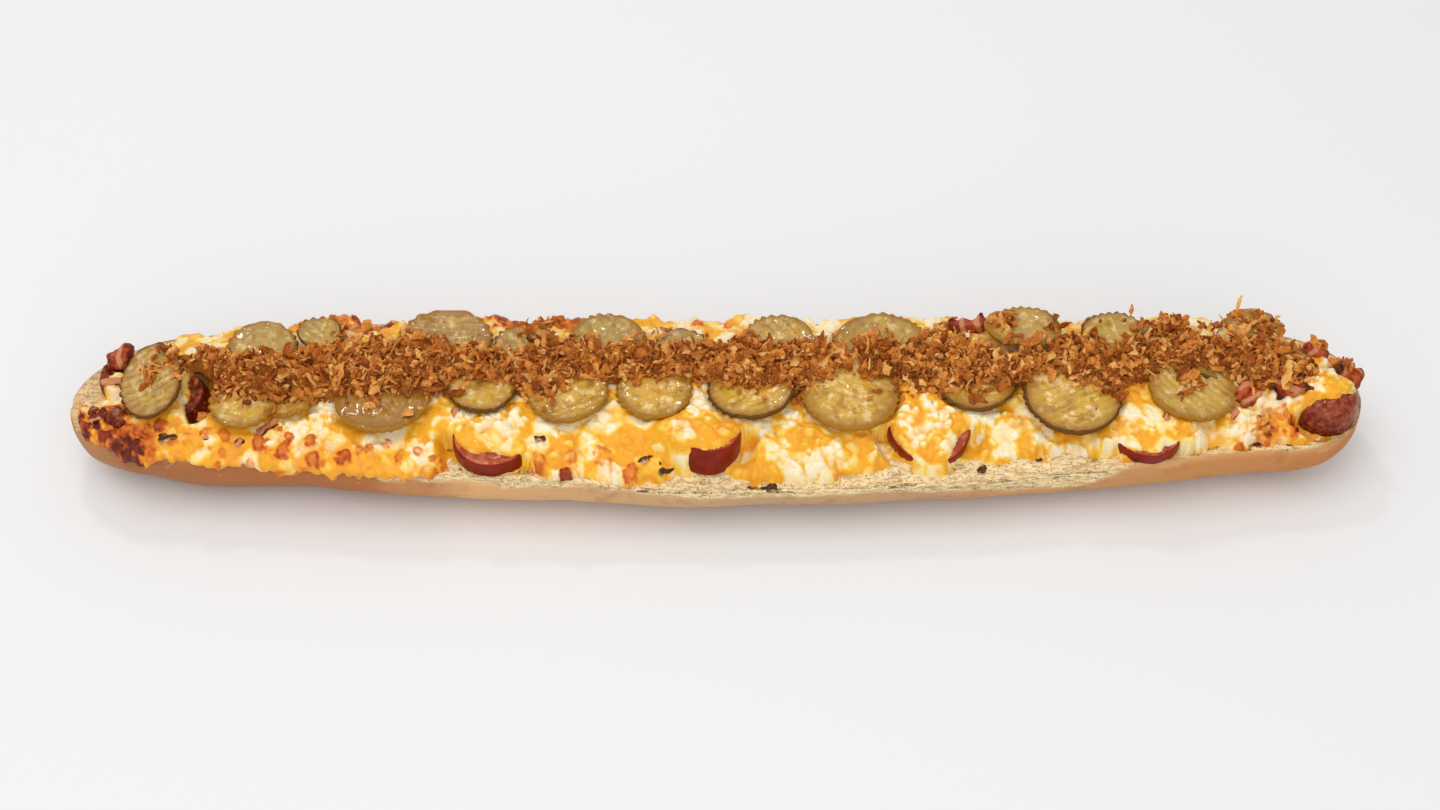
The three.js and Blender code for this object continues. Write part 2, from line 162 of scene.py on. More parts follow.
def noise(points: Array, size: float, seed: int = 0, layers: int = 1) -> Array:
    """Smooth noise in space.

    Args:
        points: places, three numbers in the last axis.
        size: how far apart its bumps are, in the points' unit.
        seed: another seed gives other noise.
        layers: each further layer is half as large and half as strong.

    Returns:
        Values from about -1 to 1, one for each place.
    """
    turn = np.array([[0.80, 0.60, 0.0], [-0.48, 0.64, 0.60], [0.36, -0.48, 0.80]])
    total, strength, whole = 0.0, 1.0, 0.0
    spot = points / size
    for layer in range(layers):
        spot = spot @ turn
        base = np.floor(spot).astype(np.int64)
        part = spot - base
        part = part * part * (3.0 - 2.0 * part)
        value = 0.0
        for corner in itertools.product((0, 1), repeat=3):
            weight = np.prod(np.where(corner, part, 1.0 - part), axis=-1)
            value = value + weight * lattice(base + np.array(corner), seed + 17 * layer)
        total = total + strength * (2.0 * value - 1.0)
        whole += strength
        spot, strength = spot * 2.0, strength * 0.5
    return 1.5 * total / whole


def neighbours(points: Array, size: float, seed: int) -> Iterator[tuple[Array, Array]]:
    """Goes through the cells round each place.

    Args:
        points: places, three numbers in the last axis.
        size: how far apart the cells' scattered middles are.
        seed: another seed gives other cells.

    Yields:
        For one cell of each place, the way there from its middle over size, and its random value.
    """
    spot = points / size
    base = np.floor(spot).astype(np.int64)
    for offset in itertools.product((-1, 0, 1), repeat=3):
        cell = base + np.array(offset)
        middle = cell + np.stack([lattice(cell, seed + k) for k in range(3)], axis=-1)
        yield spot - middle, lattice(cell, seed + 3)


def cells(points: Array, size: float, seed: int = 0) -> tuple[Array, Array]:
    """The distance to the nearest cell's middle over size, and that cell's random value.

    Args:
        points: places, three numbers in the last axis.
        size: how far apart the cells' middles are.
        seed: another seed gives other cells.

    Returns:
        The distance over size, and the random value from 0 to 1.
    """
    nearest, value = np.full(points.shape[:-1], np.inf), np.zeros(points.shape[:-1])
    for way, drawn in neighbours(points, size, seed):
        away = np.linalg.norm(way, axis=-1)
        value = np.where(away < nearest, drawn, value)
        nearest = np.minimum(nearest, away)
    return nearest, value


def blobs(points: Array, size: float, seed: int = 0, sharp: float = 14.0) -> tuple[Array, Array]:
    """Cells that melt into each other.

    Args:
        points: places, three numbers in the last axis.
        size: how far apart the cells' middles are.
        seed: another seed gives other cells.
        sharp: how little they melt together.

    Returns:
        Each place's blend of the cells' random values, and a dome from 0 to 1 over each cell, with
        a seam where it meets the next.
    """
    total = np.full(points.shape[:-1], 1e-12)
    first, second, mixed = (np.zeros(points.shape[:-1]) for _ in range(3))
    for way, drawn in neighbours(points, size, seed):
        weight = np.exp(-sharp * (way**2).sum(-1))
        total += weight
        mixed += weight * drawn
        second = np.maximum(second, np.minimum(first, weight))
        first = np.maximum(first, weight)
    seam = (second / np.maximum(first, 1e-12)) ** (5.0 / sharp)
    dome = np.sqrt(np.clip(1.0 + 1.6 * np.log(total) / sharp, 0.0, 1.0))
    return mixed / total, dome * (1.0 - seam)


def srgb(red: int, green: int, blue: int) -> Colour:
    """Turns 8-bit display values into a linear colour.

    Args:
        red: the red value, from 0 to 255.
        green: the green value.
        blue: the blue value.

    Returns:
        The colour, with alpha 1.
    """

    def linear(level: float) -> float:
        """One channel of it."""
        return level / 12.92 if level <= 0.04045 else ((level + 0.055) / 1.055) ** 2.4

    return tuple(linear(c / 255.0) for c in (red, green, blue)) + (1.0,)


def ramp_stops(*rows: tuple[float, int, int, int]) -> Ramp:
    """A ramp's stops, from the place and the 8-bit display values of each."""
    return tuple((place, srgb(*levels)) for place, *levels in rows)


# ---- Meshes ----


@dataclass
class Parts:
    """Points, faces and point values of one piece, gathered part by part, in millimetres."""

    points: list[Array] = field(default_factory=list)
    faces: list[list[int]] = field(default_factory=list)
    values: dict[str, list[Array]] = field(default_factory=dict)
    count: int = 0

    def add(self, points: Array, faces: Array | list[list[int]], **values: Array) -> None:
        """Adds a part.

        Args:
            points: its points, one row each.
            faces: corner numbers of its faces.
            values: a number or one value a point for each named attribute.
        """
        self.points.append(points)
        self.faces.extend([[int(c) + self.count for c in face] for face in faces])
        for name, value in values.items():
            whole = np.broadcast_to(np.asarray(value, float), (len(points),))
            self.values.setdefault(name, []).append(whole)
        self.count += len(points)

    def skin(self, rings: Array, **values: Array) -> None:
        """Adds a closed skin over a row of rings, each end closed by a fan.

        Args:
            rings: points by ring, by place in the ring, and by axis.
            values: one value for each point of the rings, for each named attribute.
        """
        rows, sides = rings.shape[:2]
        index = np.arange(rows * sides).reshape(rows, sides)
        nexts = np.roll(index, -1, axis=1)
        walls = np.stack([index[:-1], nexts[:-1], nexts[1:], index[1:]], axis=-1).reshape(-1, 4)
        hubs = np.array([rows * sides, rows * sides + 1])
        first = np.stack([nexts[0], index[0], np.full(sides, hubs[0])], axis=-1)
        last = np.stack([index[-1], nexts[-1], np.full(sides, hubs[1])], axis=-1)
        points = np.vstack([rings.reshape(-1, 3), rings[0].mean(0), rings[-1].mean(0)])
        across = points[walls]
        cross = np.cross(across[:, 1] - across[:, 0], across[:, 2] - across[:, 0])
        outward = np.einsum("ij,ij->i", cross, across[:, 0] - points.mean(0)).sum() > 0
        faces = [list(f) for part in (walls, first, last) for f in part.tolist()]
        if not outward:
            faces = [face[::-1] for face in faces]
        full = {}
        for name, value in values.items():
            value = np.broadcast_to(value, (rows, sides))
            full[name] = np.concatenate([value.ravel(), [value[0].mean(), value[-1].mean()]])
        self.add(points, faces, **full)

    def build(self, name: str, smooth: bool = True) -> Object:
        """Makes the object, in metres.

        Args:
            name: its name.
            smooth: whether its faces are shaded smooth.

        Returns:
            The object, linked to the scene.
        """
        mesh = bpy.data.meshes.new(name)
        mesh.from_pydata((np.vstack(self.points) * MM).tolist(), [], self.faces)
        for key, value in self.values.items():
            layer = mesh.attributes.new(key, "FLOAT", "POINT")
            layer.data.foreach_set("value", np.concatenate(value).astype(np.float32))
        mesh.polygons.foreach_set("use_smooth", [smooth] * len(mesh.polygons))
        mesh.update()
        return linked(name, mesh)

    def finished(self, name: str, material: Material, nodes: list[str]) -> Object:
        """Makes the object and places it, as place_piece says."""
        piece = self.build(name)
        place_piece(piece, material, nodes)
        return piece


def linked(name: str, data: ID) -> Object:
    """A new object that holds the data, linked to the scene."""
    piece = bpy.data.objects.new(name, data)
    bpy.context.scene.collection.objects.link(piece)
    return piece


def evaluated(piece: Object) -> Mesh:
    """A new mesh with the piece's modifiers worked in."""
    bpy.context.view_layer.update()
    graph = bpy.context.evaluated_depsgraph_get()
    return bpy.data.meshes.new_from_object(piece.evaluated_get(graph), depsgraph=graph)


def grounds(pieces: list[Object]) -> list[BVHTree]:
    """Search trees of the pieces, for finding what lies under a place."""
    graph = bpy.context.evaluated_depsgraph_get()
    return [BVHTree.FromObject(piece, graph) for piece in pieces]


def highest(trees: list[BVHTree], start: Vector) -> tuple[Vector, Vector] | None:
    """The highest place of the trees straight under the start, and the normal there."""
    hits = [tree.ray_cast(start, Vector((0.0, 0.0, -1.0)))[:2] for tree in trees]
    return max((hit for hit in hits if hit[0] is not None), key=lambda hit: hit[0].z, default=None)


def dispose(piece: Object) -> None:
    """Takes a helper object and its mesh out of the file."""
    mesh = piece.data
    bpy.data.objects.remove(piece)
    bpy.data.meshes.remove(mesh)


def place_piece(piece: Object, material: Material | None, nodes: list[str]) -> None:
    """Gives a piece its finish, attaches it to the body and hides the CAD nodes that it stands for.

    Args:
        piece: the finished object.
        material: its material, unless it already has one.
        nodes: the CAD nodes that it stands for.
    """
    if material is not None:
        piece.data.materials.clear()
        piece.data.materials.append(material)
    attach(piece, BODY)
    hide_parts(*nodes)
    piece.data.calc_loop_triangles()
    LOG.info("%s: %d triangles", piece.name, len(piece.data.loop_triangles))


# ---- Node trees ----


def operator(operation: str, swapped: bool = False) -> Callable[["Value", "Value | float"], "Value"]:
    """Makes a method of Value that adds the Math node for an operator.

    Args:
        operation: the node's operation.
        swapped: whether the other value comes first, as in a reflected form.

    Returns:
        The method.
    """

    def method(value: "Value", other: "Value | float") -> "Value":
        """Adds the node."""
        first, second = (other, value) if swapped else (value, other)
        return value.writer.out("ShaderNodeMath", {"operation": operation}, {0: first, 1: second})

    return method


class Value:
    """A node's socket that arithmetic can be written with."""

    def __init__(self, writer: "Writer", socket: NodeSocket) -> None:
        """Wraps a socket in the tree of that writer."""
        self.writer = writer
        self.socket = socket

    __add__, __radd__ = operator("ADD"), operator("ADD", swapped=True)
    __sub__, __rsub__ = operator("SUBTRACT"), operator("SUBTRACT", swapped=True)
    __mul__, __rmul__ = operator("MULTIPLY"), operator("MULTIPLY", swapped=True)

    def eased(self, low: float, high: float, start: float = 0.0, stop: float = 1.0) -> "Value":
        """Goes from start to stop as this value goes from low to high, eased at both ends."""
        limits = {"From Min": low, "From Max": high, "To Min": start, "To Max": stop}
        settings = {"interpolation_type": "SMOOTHSTEP"}
        return self.writer.out("ShaderNodeMapRange", settings, {"Value": self, **limits})


class Writer:
    """Writes the nodes of a tree."""

    def __init__(self, tree: NodeTree) -> None:
        """Starts on that tree."""
        self.tree = tree

    def node(self, kind: str, settings: dict | None = None, inputs: dict | None = None) -> Node:
        """Adds a node.

        Args:
            kind: its type.
            settings: its properties, set first. Stops are a colour ramp's (place, colour) pairs.
            inputs: values or links of its sockets, by name or number.

        Returns:
            The node.
        """
        node = self.tree.nodes.new(kind)
        for key, value in (settings or {}).items():
            if key == "stops":
                elements = node.color_ramp.elements
                for place, _ in value[2:]:
                    elements.new(place)
                for element, (place, colour) in zip(elements, value):
                    element.position, element.color = place, colour
            else:
                setattr(node, key, value)
        for key, value in (inputs or {}).items():
            if isinstance(value, Value):
                self.tree.links.new(value.socket, node.inputs[key])
            else:
                node.inputs[key].default_value = value
        return node

    def out(
        self, kind: str, settings: dict | None = None, inputs: dict | None = None, output: str | int = 0
    ) -> Value:
        """Adds a node and gives one of its outputs."""
        return Value(self, self.node(kind, settings, inputs).outputs[output])


class Shader(Writer):
    """Writes the nodes of one material."""

    def __init__(self, name: str) -> None:
        """Starts an empty material of that name."""
        self.material = bpy.data.materials.new(name)
        self.material.use_nodes = True
        super().__init__(self.material.node_tree)
        self.tree.nodes.clear()

    def place(self, stretch: tuple[float, float, float] | None = None) -> Value:
        """Object coordinates, each axis drawn out by its share in stretch."""
        coordinates = self.out("ShaderNodeTexCoord", output="Object")
        if stretch is None:
            return coordinates
        scale = tuple(1.0 / share for share in stretch)
        return self.out("ShaderNodeMapping", None, {"Vector": coordinates, "Scale": scale})

    def axis(self, name: str) -> Value:
        """One axis of the object coordinates, in metres."""
        return self.out("ShaderNodeSeparateXYZ", None, {0: self.place()}, name)

    def attribute(self, name: str) -> Value:
        """A point attribute of the mesh."""
        return self.out("ShaderNodeAttribute", {"attribute_name": name}, None, "Fac")

    def noise(
        self, size: float, detail: float = 3.0, rough: float = 0.55, place: Value | None = None
    ) -> Value:
        """Noise from 0 to 1 with bumps about size millimetres apart."""
        inputs = {"Vector": place or self.place(), "Scale": 1.0 / (size * MM), "Detail": detail}
        return self.out("ShaderNodeTexNoise", None, {**inputs, "Roughness": rough})

    def wobble(self, size: float, width: float, detail: float = 3.0, rough: float = 0.55) -> Value:
        """Noise about 0 that is width from its lowest to its highest."""
        return (self.noise(size, detail, rough) - 0.5) * width

    def cells(self, size: float, place: Value | None = None) -> Value:
        """Distance to the middle of cells about size millimetres apart, over their size."""
        inputs = {"Vector": place or self.place(), "Scale": 1.0 / (size * MM)}
        return self.out("ShaderNodeTexVoronoi", {"feature": "F1"}, inputs, "Distance")

    def ramp(self, stops: Ramp, place: Value) -> Value:
        """The colour of a ramp at a place along it."""
        return self.out("ShaderNodeValToRGB", {"stops": stops}, {0: place})

    def mix(self, factor: Value | float, first: Value | Colour, second: Value | Colour) -> Value:
        """A colour between the first, at factor 0, and the second, at factor 1."""
        return self.out("ShaderNodeMix", {"data_type": "RGBA"}, {0: factor, 6: first, 7: second}, 2)

    def layered(self, base: Value | Colour, *layers: tuple[Value | float, Value | Colour]) -> Value:
        """The base under layers, each given by how far it covers and its colour."""
        for cover, colour in layers:
            base = self.mix(cover, base, colour)
        return base

    def shade(self, colour: Value | Colour, level: Value) -> Value:
        """The colour times a level."""
        settings = {"data_type": "RGBA", "blend_type": "MULTIPLY"}
        grey = self.out("ShaderNodeCombineColor", None, {0: level, 1: level, 2: level})
        return self.out("ShaderNodeMix", settings, {0: 1.0, 6: colour, 7: grey}, 2)

    def bump(self, height: Value, depth: float) -> Value:
        """A normal for relief of the given depth in millimetres."""
        return self.out("ShaderNodeBump", None, {"Height": height, "Distance": depth * MM, "Strength": 1.0})

    def principled(
        self, base: Value | Colour, roughness: Value | float, **inputs: Value | float | tuple[float, ...]
    ) -> Material:
        """Closes the material with a Principled shader.

        Args:
            base: its colour.
            roughness: its roughness.
            inputs: further sockets, with _ for a space: values, or a link where it varies.

        Returns:
            The material.
        """
        named = {key.replace("_", " "): value for key, value in inputs.items()}
        named = {"Base Color": base, "Roughness": roughness, **named}
        shader = self.out("ShaderNodeBsdfPrincipled", None, named)
        self.node("ShaderNodeOutputMaterial", None, {"Surface": shader})
        return self.material


# ---- The loaf's form, on which everything is set down ----


@dataclass(frozen=True)
class LoafForm:
    """The half baguette's driving sizes and the curves that follow from them."""

    length: float = 494.0
    half_width: float = 40.5
    cut_height: float = 26.0
    taper: float = 0.32
    blunt_left: float = 16.0
    blunt_right: float = 24.0
    belly: float = 3.0
    depth_share: float = 1.13
    under_power: float = 2.25
    dish: float = 2.2
    rim: float = 0.7
    shoulder: float = 3.4
    inset: float = 0.6
    lean: float = 10.0
    bow: float = 11.7
    bow_left: float = 6.0
    forward: float = 3.5
    curl_left: float = 6.0
    curl_right: float = 5.5
    tip: float = 0.9992

    def x_of(self, s: Array) -> Array:
        """Millimetres along the loaf."""
        return s * self.length / 2.0

    def s_of(self, x: Array) -> Array:
        """Share of the half length, from -1 to 1."""
        return 2.0 * x / self.length

    def centre_line(self, s: Array) -> Array:
        """Bowed to the front at mid length and again at the left end, and curled at both tips."""
        bowed = self.bow * s**2 - self.forward
        curled = self.curl_left * ease(-s, 0.86, 1.0) + self.curl_right * ease(s, 0.78, 0.96)
        return bowed - self.bow_left * ease(-s, 0.6, 0.85) - curled

    def half(self, s: Array) -> Array:
        """Half the width at s."""
        width = self.half_width * (1.0 - self.taper * s * s) + uneven(9.0 * s, 0.9, 1)
        blunt = np.where(s < 0, self.blunt_left, self.blunt_right)
        return width * rounded_end(s, blunt)

    def cut_edge(self, s: Array) -> Array:
        """Height of the cut face's edge."""
        return self.cut_height + uneven(7.0 * s, 0.7, 2)

    def cut_face(self, s: Array, t: Array) -> Array:
        """Height of the cut face: dished, with a raised rim, and pressed down along the front.

        Args:
            s: places along the loaf.
            t: places across it.

        Returns:
            The heights.
        """
        side = np.minimum(1.0, np.abs(t))
        dished = -self.dish * (1.0 - side**2) + self.rim * ease(side, 0.86, 0.97)
        pressed = self.shoulder * ease(-t, 0.7, 1.0) * between(s, -0.12, 0.52, 0.12)
        return self.cut_edge(s) + dished * rounded_end(s, 6) - pressed

    def across(self, s: Array, y: Array) -> Array:
        """The share t of a place across the loaf."""
        return (y - self.centre_line(s)) / np.maximum(8.0, self.half(s))

    def top_points(self, s: Array, t: Array) -> Array:
        """Points of the cut face, for columns of s and rows of t."""
        y = self.centre_line(s) + t * (self.half(s) - self.inset)
        return at(self.x_of(s), y, self.cut_face(s, t))

    def under_points(self, s: Array, angle: Array) -> Array:
        """Points of the side and base.

        Args:
            s: places along the loaf.
            angle: places round it, from 0 at the front, over the base, to pi at the back.

        Returns:
            The points.
        """
        c, n = np.cos(angle), np.sin(angle)
        out = np.sign(c) * np.abs(c) ** (2.0 / self.under_power)
        down = np.sign(n) * np.abs(n) ** (2.0 / self.under_power)
        depth = (self.cut_height - self.belly) * self.depth_share * rounded_end(s, 14)
        tall = np.where(n < 0, self.belly * 1.5, depth)
        y = self.centre_line(s) - out * self.half(s)
        z = np.maximum(0.0, self.cut_edge(s) - self.belly - down * tall)
        return at(self.x_of(s), y, z)

    def stations(self, count: int) -> Array:
        """Values of s that are evenly far apart along the loaf's outline, as a column."""
        fine = np.linspace(-self.tip, self.tip, 6001)
        step = np.hypot(np.diff(self.x_of(fine)), np.diff(self.half(fine)))
        walked = np.concatenate([[0.0], np.cumsum(step)])
        return np.interp(np.linspace(0.0, walked[-1], count), walked, fine)[:, None]


FORM = LoafForm()


def frame_shift() -> float:
    """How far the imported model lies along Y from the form's own frame."""
    low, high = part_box("loaf")
    s = np.linspace(-FORM.tip, FORM.tip, 2001)
    line, half = FORM.centre_line(s), FORM.half(s)
    own = (np.min(line - half) + np.max(line + half)) / 2.0
    return (low.y + high.y) / 2.0 / MM - own


SHIFT = np.array([0.0, frame_shift(), 0.0])


# ---- Bread ----


@dataclass(frozen=True)
class BreadFinish:
    """Thin baguette crust, baked unevenly along the loaf, and its open crumb, with painted shade in its pores
    and cracks.
    """

    bake: Ramp = ramp_stops(
        (0.0, 186, 138, 94), (0.08, 170, 109, 66), (0.24, 178, 112, 64), (0.31, 224, 174, 118),
        (0.55, 196, 160, 122), (0.72, 200, 152, 104), (0.88, 200, 138, 80), (1.0, 186, 118, 66),
    )
    toasted: Colour = srgb(150, 84, 40)
    floured: Colour = srgb(228, 202, 168)
    crumb: Colour = srgb(255, 232, 182)
    crumb_deep: Colour = srgb(182, 132, 78)
    crumb_grey: Colour = srgb(255, 222, 166)
    crumb_hole: Colour = srgb(150, 104, 60)

    def material(self) -> Material:
        """Reads the attributes crumb, deep and low, which the mesh carries; deep places painted shade in the
        crumb's pores and cracks.

        Returns:
            The material.
        """
        s = Shader("baguette_crust_and_crumb")
        along = (s.axis("X") + FORM.length / 2 * MM) * (1.0 / (FORM.length * MM))
        dust = s.noise(2.2, 5, 0.7).eased(0.56, 0.75) * s.noise(22).eased(0.4, 0.62)
        crust = s.layered(
            s.ramp(self.bake, along + s.wobble(38, 0.2)),
            (s.noise(9, 5, 0.6).eased(0.5, 0.78) * 0.45, self.toasted),
            # The crust darkens towards the base of its side.
            (s.attribute("low") * 0.5, self.toasted),
            (dust * 0.35, self.floured),
        )
        layers = s.noise(1.6, 4, 0.6, s.place((3.4, 1.0, 0.8)))
        threads = s.noise(1.0, 4, 0.7, s.place((3.0, 1.0, 0.6)))
        holes = (1 - s.cells(0.95).eased(0.1, 0.34)) * s.noise(2.6, 3).eased(0.44, 0.56)
        crumb = s.layered(
            self.crumb_grey,
            (layers.eased(0.35, 0.68), self.crumb),
            (s.noise(0.9, 4, 0.65).eased(0.54, 0.74) * 0.4, self.crumb_deep),
            (threads.eased(0.56, 0.68) * 0.4, self.crumb_deep),
            # Painted shade: dark holes for the shade inside pores, and a darker crumb where deep marks pores,
            # cracks and torn recesses.
            (holes * 0.7, self.crumb_hole),
            (s.attribute("deep") * 0.45, self.crumb_deep),
        )
        is_crumb = s.attribute("crumb")
        base = s.mix(is_crumb, crust, crumb)
        skin = s.noise(0.7, 4, 0.6) * 0.5 + s.noise(4.5, 3) * 0.6
        pores = layers * 0.5 + s.cells(1.1).eased(0.1, 0.6) * 0.5 - threads.eased(0.52, 0.66) * 0.4 - holes
        relief = skin * (1 - is_crumb) * 0.35 + pores * is_crumb
        roughness = 0.5 + is_crumb * 0.4 + s.noise(6) * 0.1
        return s.principled(
            base, roughness, Normal=s.bump(relief, 0.7), Subsurface_Weight=0.1,
            Subsurface_Radius=(0.004, 0.002, 0.001), Subsurface_Scale=0.5, Specular_IOR_Level=0.12,
        )


@dataclass
class Bread:
    """The loaf's mesh: crust with a thin lip, and a cut face of open crumb with pores and cracks."""

    count: int = 610
    lip: float = 0.955
    lip_height: float = 0.5
    swell: float = 0.6
    dent: float = 0.5
    pore_size: float = 3.4
    pore_depth: float = 1.1
    crack_size: float = 2.0
    crack_depth: float = 0.6
    torn_below: float = 25.4
    torn_depth: float = 0.7
    torn_relief: float = 0.8

    # Along the front the crust is torn off down to a height: place along the loaf, height.
    torn: tuple[tuple[float, float], ...] = (
        (-138, 26), (-122, 23.4), (-103, 23), (-84, 23.4), (-50, 23.8), (-26, 23), (-7, 21),
        (14, 19.5), (32, 21.5), (70, 21), (90, 19.5), (109, 17), (126, 15.5), (139, 17.5), (148, 21),
        (154, 25),
    )

    def build(self) -> Object:
        """Makes the loaf.

        Returns:
            The piece.
        """
        s = FORM.stations(self.count)
        t = runs(-1.0, (1.0, 12), (0.74, 14), (-0.6, 27))
        lean = math.radians(FORM.lean)
        angle = runs(math.pi + lean, (-lean, 20), (0.5, 50))
        top = FORM.top_points(s, t)
        side = FORM.under_points(s, angle)
        ragged = noise(top, 5.0, 3, 2) * 0.018
        crumb = 1.0 - ease(np.abs(t) + ragged, self.lip, self.lip + 0.03)
        crust_top = np.interp(FORM.x_of(s), *np.array(self.torn).T)
        open_front = ease(self.torn_below - crust_top, 0.0, 1.5)
        crumb = np.maximum(crumb, open_front * (t < 0.0))
        away, pick = cells(top * np.array([0.55, 1.0, 1.0]), self.pore_size, 5)
        pore = (1.0 - ease(away, 0.12, 0.5)) * (pick > 0.45)
        cracks = ease(noise(top * np.array([0.3, 1.0, 1.0]), self.crack_size, 7, 2), 0.2, 0.75)
        # Sunk pores and cracks, marked here as deep, get painted shade in the crumb's colour.
        deep = np.clip(pore + 0.7 * cracks, 0.0, 1.0) * crumb
        swell = noise(top, 7.0, 8, 3) * self.swell
        crumb = crumb * (1.0 - 0.35 * ease(np.abs(s), 0.9, 0.96))
        top[..., 2] += crumb * swell - self.pore_depth * pore * crumb - self.crack_depth * cracks * crumb
        lipped = 1.0 - open_front * (t < 0.0)
        lip = self.lip_height * between(np.abs(t), 0.965, 0.985, 0.012)
        top[..., 2] += lip * rounded_end(s, 10) * lipped
        dented = noise(side, 26.0, 9, 3) * self.dent + noise(side * np.array([1.0, 1.0, 2.5]), 9.0, 10) * 0.25
        firm = ease(side[..., 2], 0.5, 5.0) * (1.0 - ease(side[..., 2], 20.0, 24.0))
        outward = at(0.0, -np.cos(angle), 0.0 * s)
        tear = noise(side * np.array([0.5, 1.0, 1.0]), 4.0, 11, 2)
        bare = ease(side[..., 2] - crust_top + 1.6 * tear, -0.4, 0.5) * open_front * (angle < 1.2)
        layered = noise(side * np.array([0.26, 1.0, 1.6]), 1.8, 12, 3)
        dented = dented * firm + bare * (self.torn_relief * layered - self.torn_depth)
        side = side + outward * dented[..., None]
        rings = np.concatenate([top, side], axis=1)
        low = 1.0 - ease(side[..., 2], 0.5, 9.0)
        parts = Parts()
        parts.skin(
            rings + SHIFT,
            crumb=np.concatenate([crumb, bare], axis=1),
            # The recesses of the torn layers get painted shade as well.
            deep=np.concatenate([deep, bare * ease(-layered, 0.1, 0.6)], axis=1),
            low=np.concatenate([np.zeros_like(deep), low], axis=1),
        )
        return parts.finished("baguette_half", BreadFinish().material(), ["loaf"])


# ---- Slices, read from the CAD nodes ----


@dataclass(frozen=True)
class Plate:
    """How a slice lies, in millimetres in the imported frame: its top's middle, its axes and its size."""

    middle: Array
    along: Array
    across: Array
    facing: Array
    radii: tuple[float, float]
    thickness: float

    @classmethod
    def read(cls, node: str) -> "Plate":
        """Reads a slice from its CAD node, whose corners the slice's neighbours may have cut off.

        Args:
            node: the node's name.

        Returns:
            How the slice lies.
        """
        mesh = frame["nodes"][node].data
        mesh.calc_loop_triangles()
        corners = np.array([v.co for v in mesh.vertices]) / MM
        triangles = corners[np.array([t.vertices for t in mesh.loop_triangles])]
        normals = np.cross(triangles[:, 1] - triangles[:, 0], triangles[:, 2] - triangles[:, 0])
        facing = normals[normals[:, 2] > 0.0].sum(0)
        facing /= np.linalg.norm(facing)
        along = np.cross([0.0, 1.0, 0.0], facing)
        along /= np.linalg.norm(along)
        across = np.cross(facing, along)
        heights = corners @ facing
        used, times = np.unique(np.round(triangles.reshape(-1, 3), 3), axis=0, return_counts=True)
        upper = used @ facing > heights.mean()
        hubs = used[upper & (times >= times[upper].max())]
        fewest_spokes, top_margin, inner_share = 12, 0.05, 0.75
        if times[upper].max() < fewest_spokes:
            top = used[used @ facing > heights.max() - top_margin]
            flat = np.stack([top @ along, top @ across], axis=-1)
            fit = np.linalg.lstsq(np.c_[2 * flat, np.ones(len(flat))], (flat**2).sum(1), rcond=None)[0]
            middle = fit[0] * along + fit[1] * across + heights.max() * facing
            radius = math.sqrt(fit[2] + fit[0] ** 2 + fit[1] ** 2)
            return cls(middle, along, across, facing, (radius, radius), np.ptp(heights))
        rim = np.stack([(used - hubs[0]) @ along, (used - hubs[0]) @ across], axis=-1)
        far = np.linalg.norm(rim, axis=1)
        rim = rim[far > inner_share * far.max()]
        fit = np.linalg.lstsq(rim**2, np.ones(len(rim)), rcond=None)[0]
        radii = (1.0 / math.sqrt(fit[0]), 1.0 / math.sqrt(fit[1]))
        return cls(hubs[0], along, across, facing, radii, np.ptp(heights))

    def leant(
        self, degrees: float, onward: float, thickness: float, sideways: float = 0.0, size: float = 1.0
    ) -> "Plate":
        """The slice, leant and moved.

        Args:
            degrees: how much further it leans to the front.
            onward: how far it moves to the front.
            thickness: how thick it is.
            sideways: how far it moves along the loaf.
            size: the share of its size that it keeps.

        Returns:
            The slice as it lies then.
        """
        c, n = math.cos(math.radians(degrees)), math.sin(math.radians(degrees))
        return replace(
            self, middle=self.middle + np.array([sideways, -onward, 0.0]), thickness=thickness,
            radii=(self.radii[0] * size, self.radii[1] * size),
            facing=self.facing * c - self.across * n, across=self.across * c + self.facing * n,
        )

    def local(self, points: Array) -> tuple[Array, Array, Array]:
        """Places of points in the slice's own axes: along, across and above its top."""
        offset = points - self.middle
        return offset @ self.along, offset @ self.across, offset @ self.facing

    def world(self, p: Array, q: Array, h: Array) -> Array:
        """Points from places in the slice's own axes."""
        return (
            self.middle + p[..., None] * self.along + q[..., None] * self.across
            + h[..., None] * self.facing
        )

    def share(self, points: Array) -> Array:
        """How far out over the slice points lie, seen square on: 1 at its rim."""
        p, q, _ = self.local(points)
        return np.hypot(p / self.radii[0], q / self.radii[1])


def numbered(name: str, count: int) -> list[str]:
    """The names of a numbered row of nodes."""
    return [f"{name}_{i + 1:02d}" for i in range(count)]


# ---- Gherkin slices ----


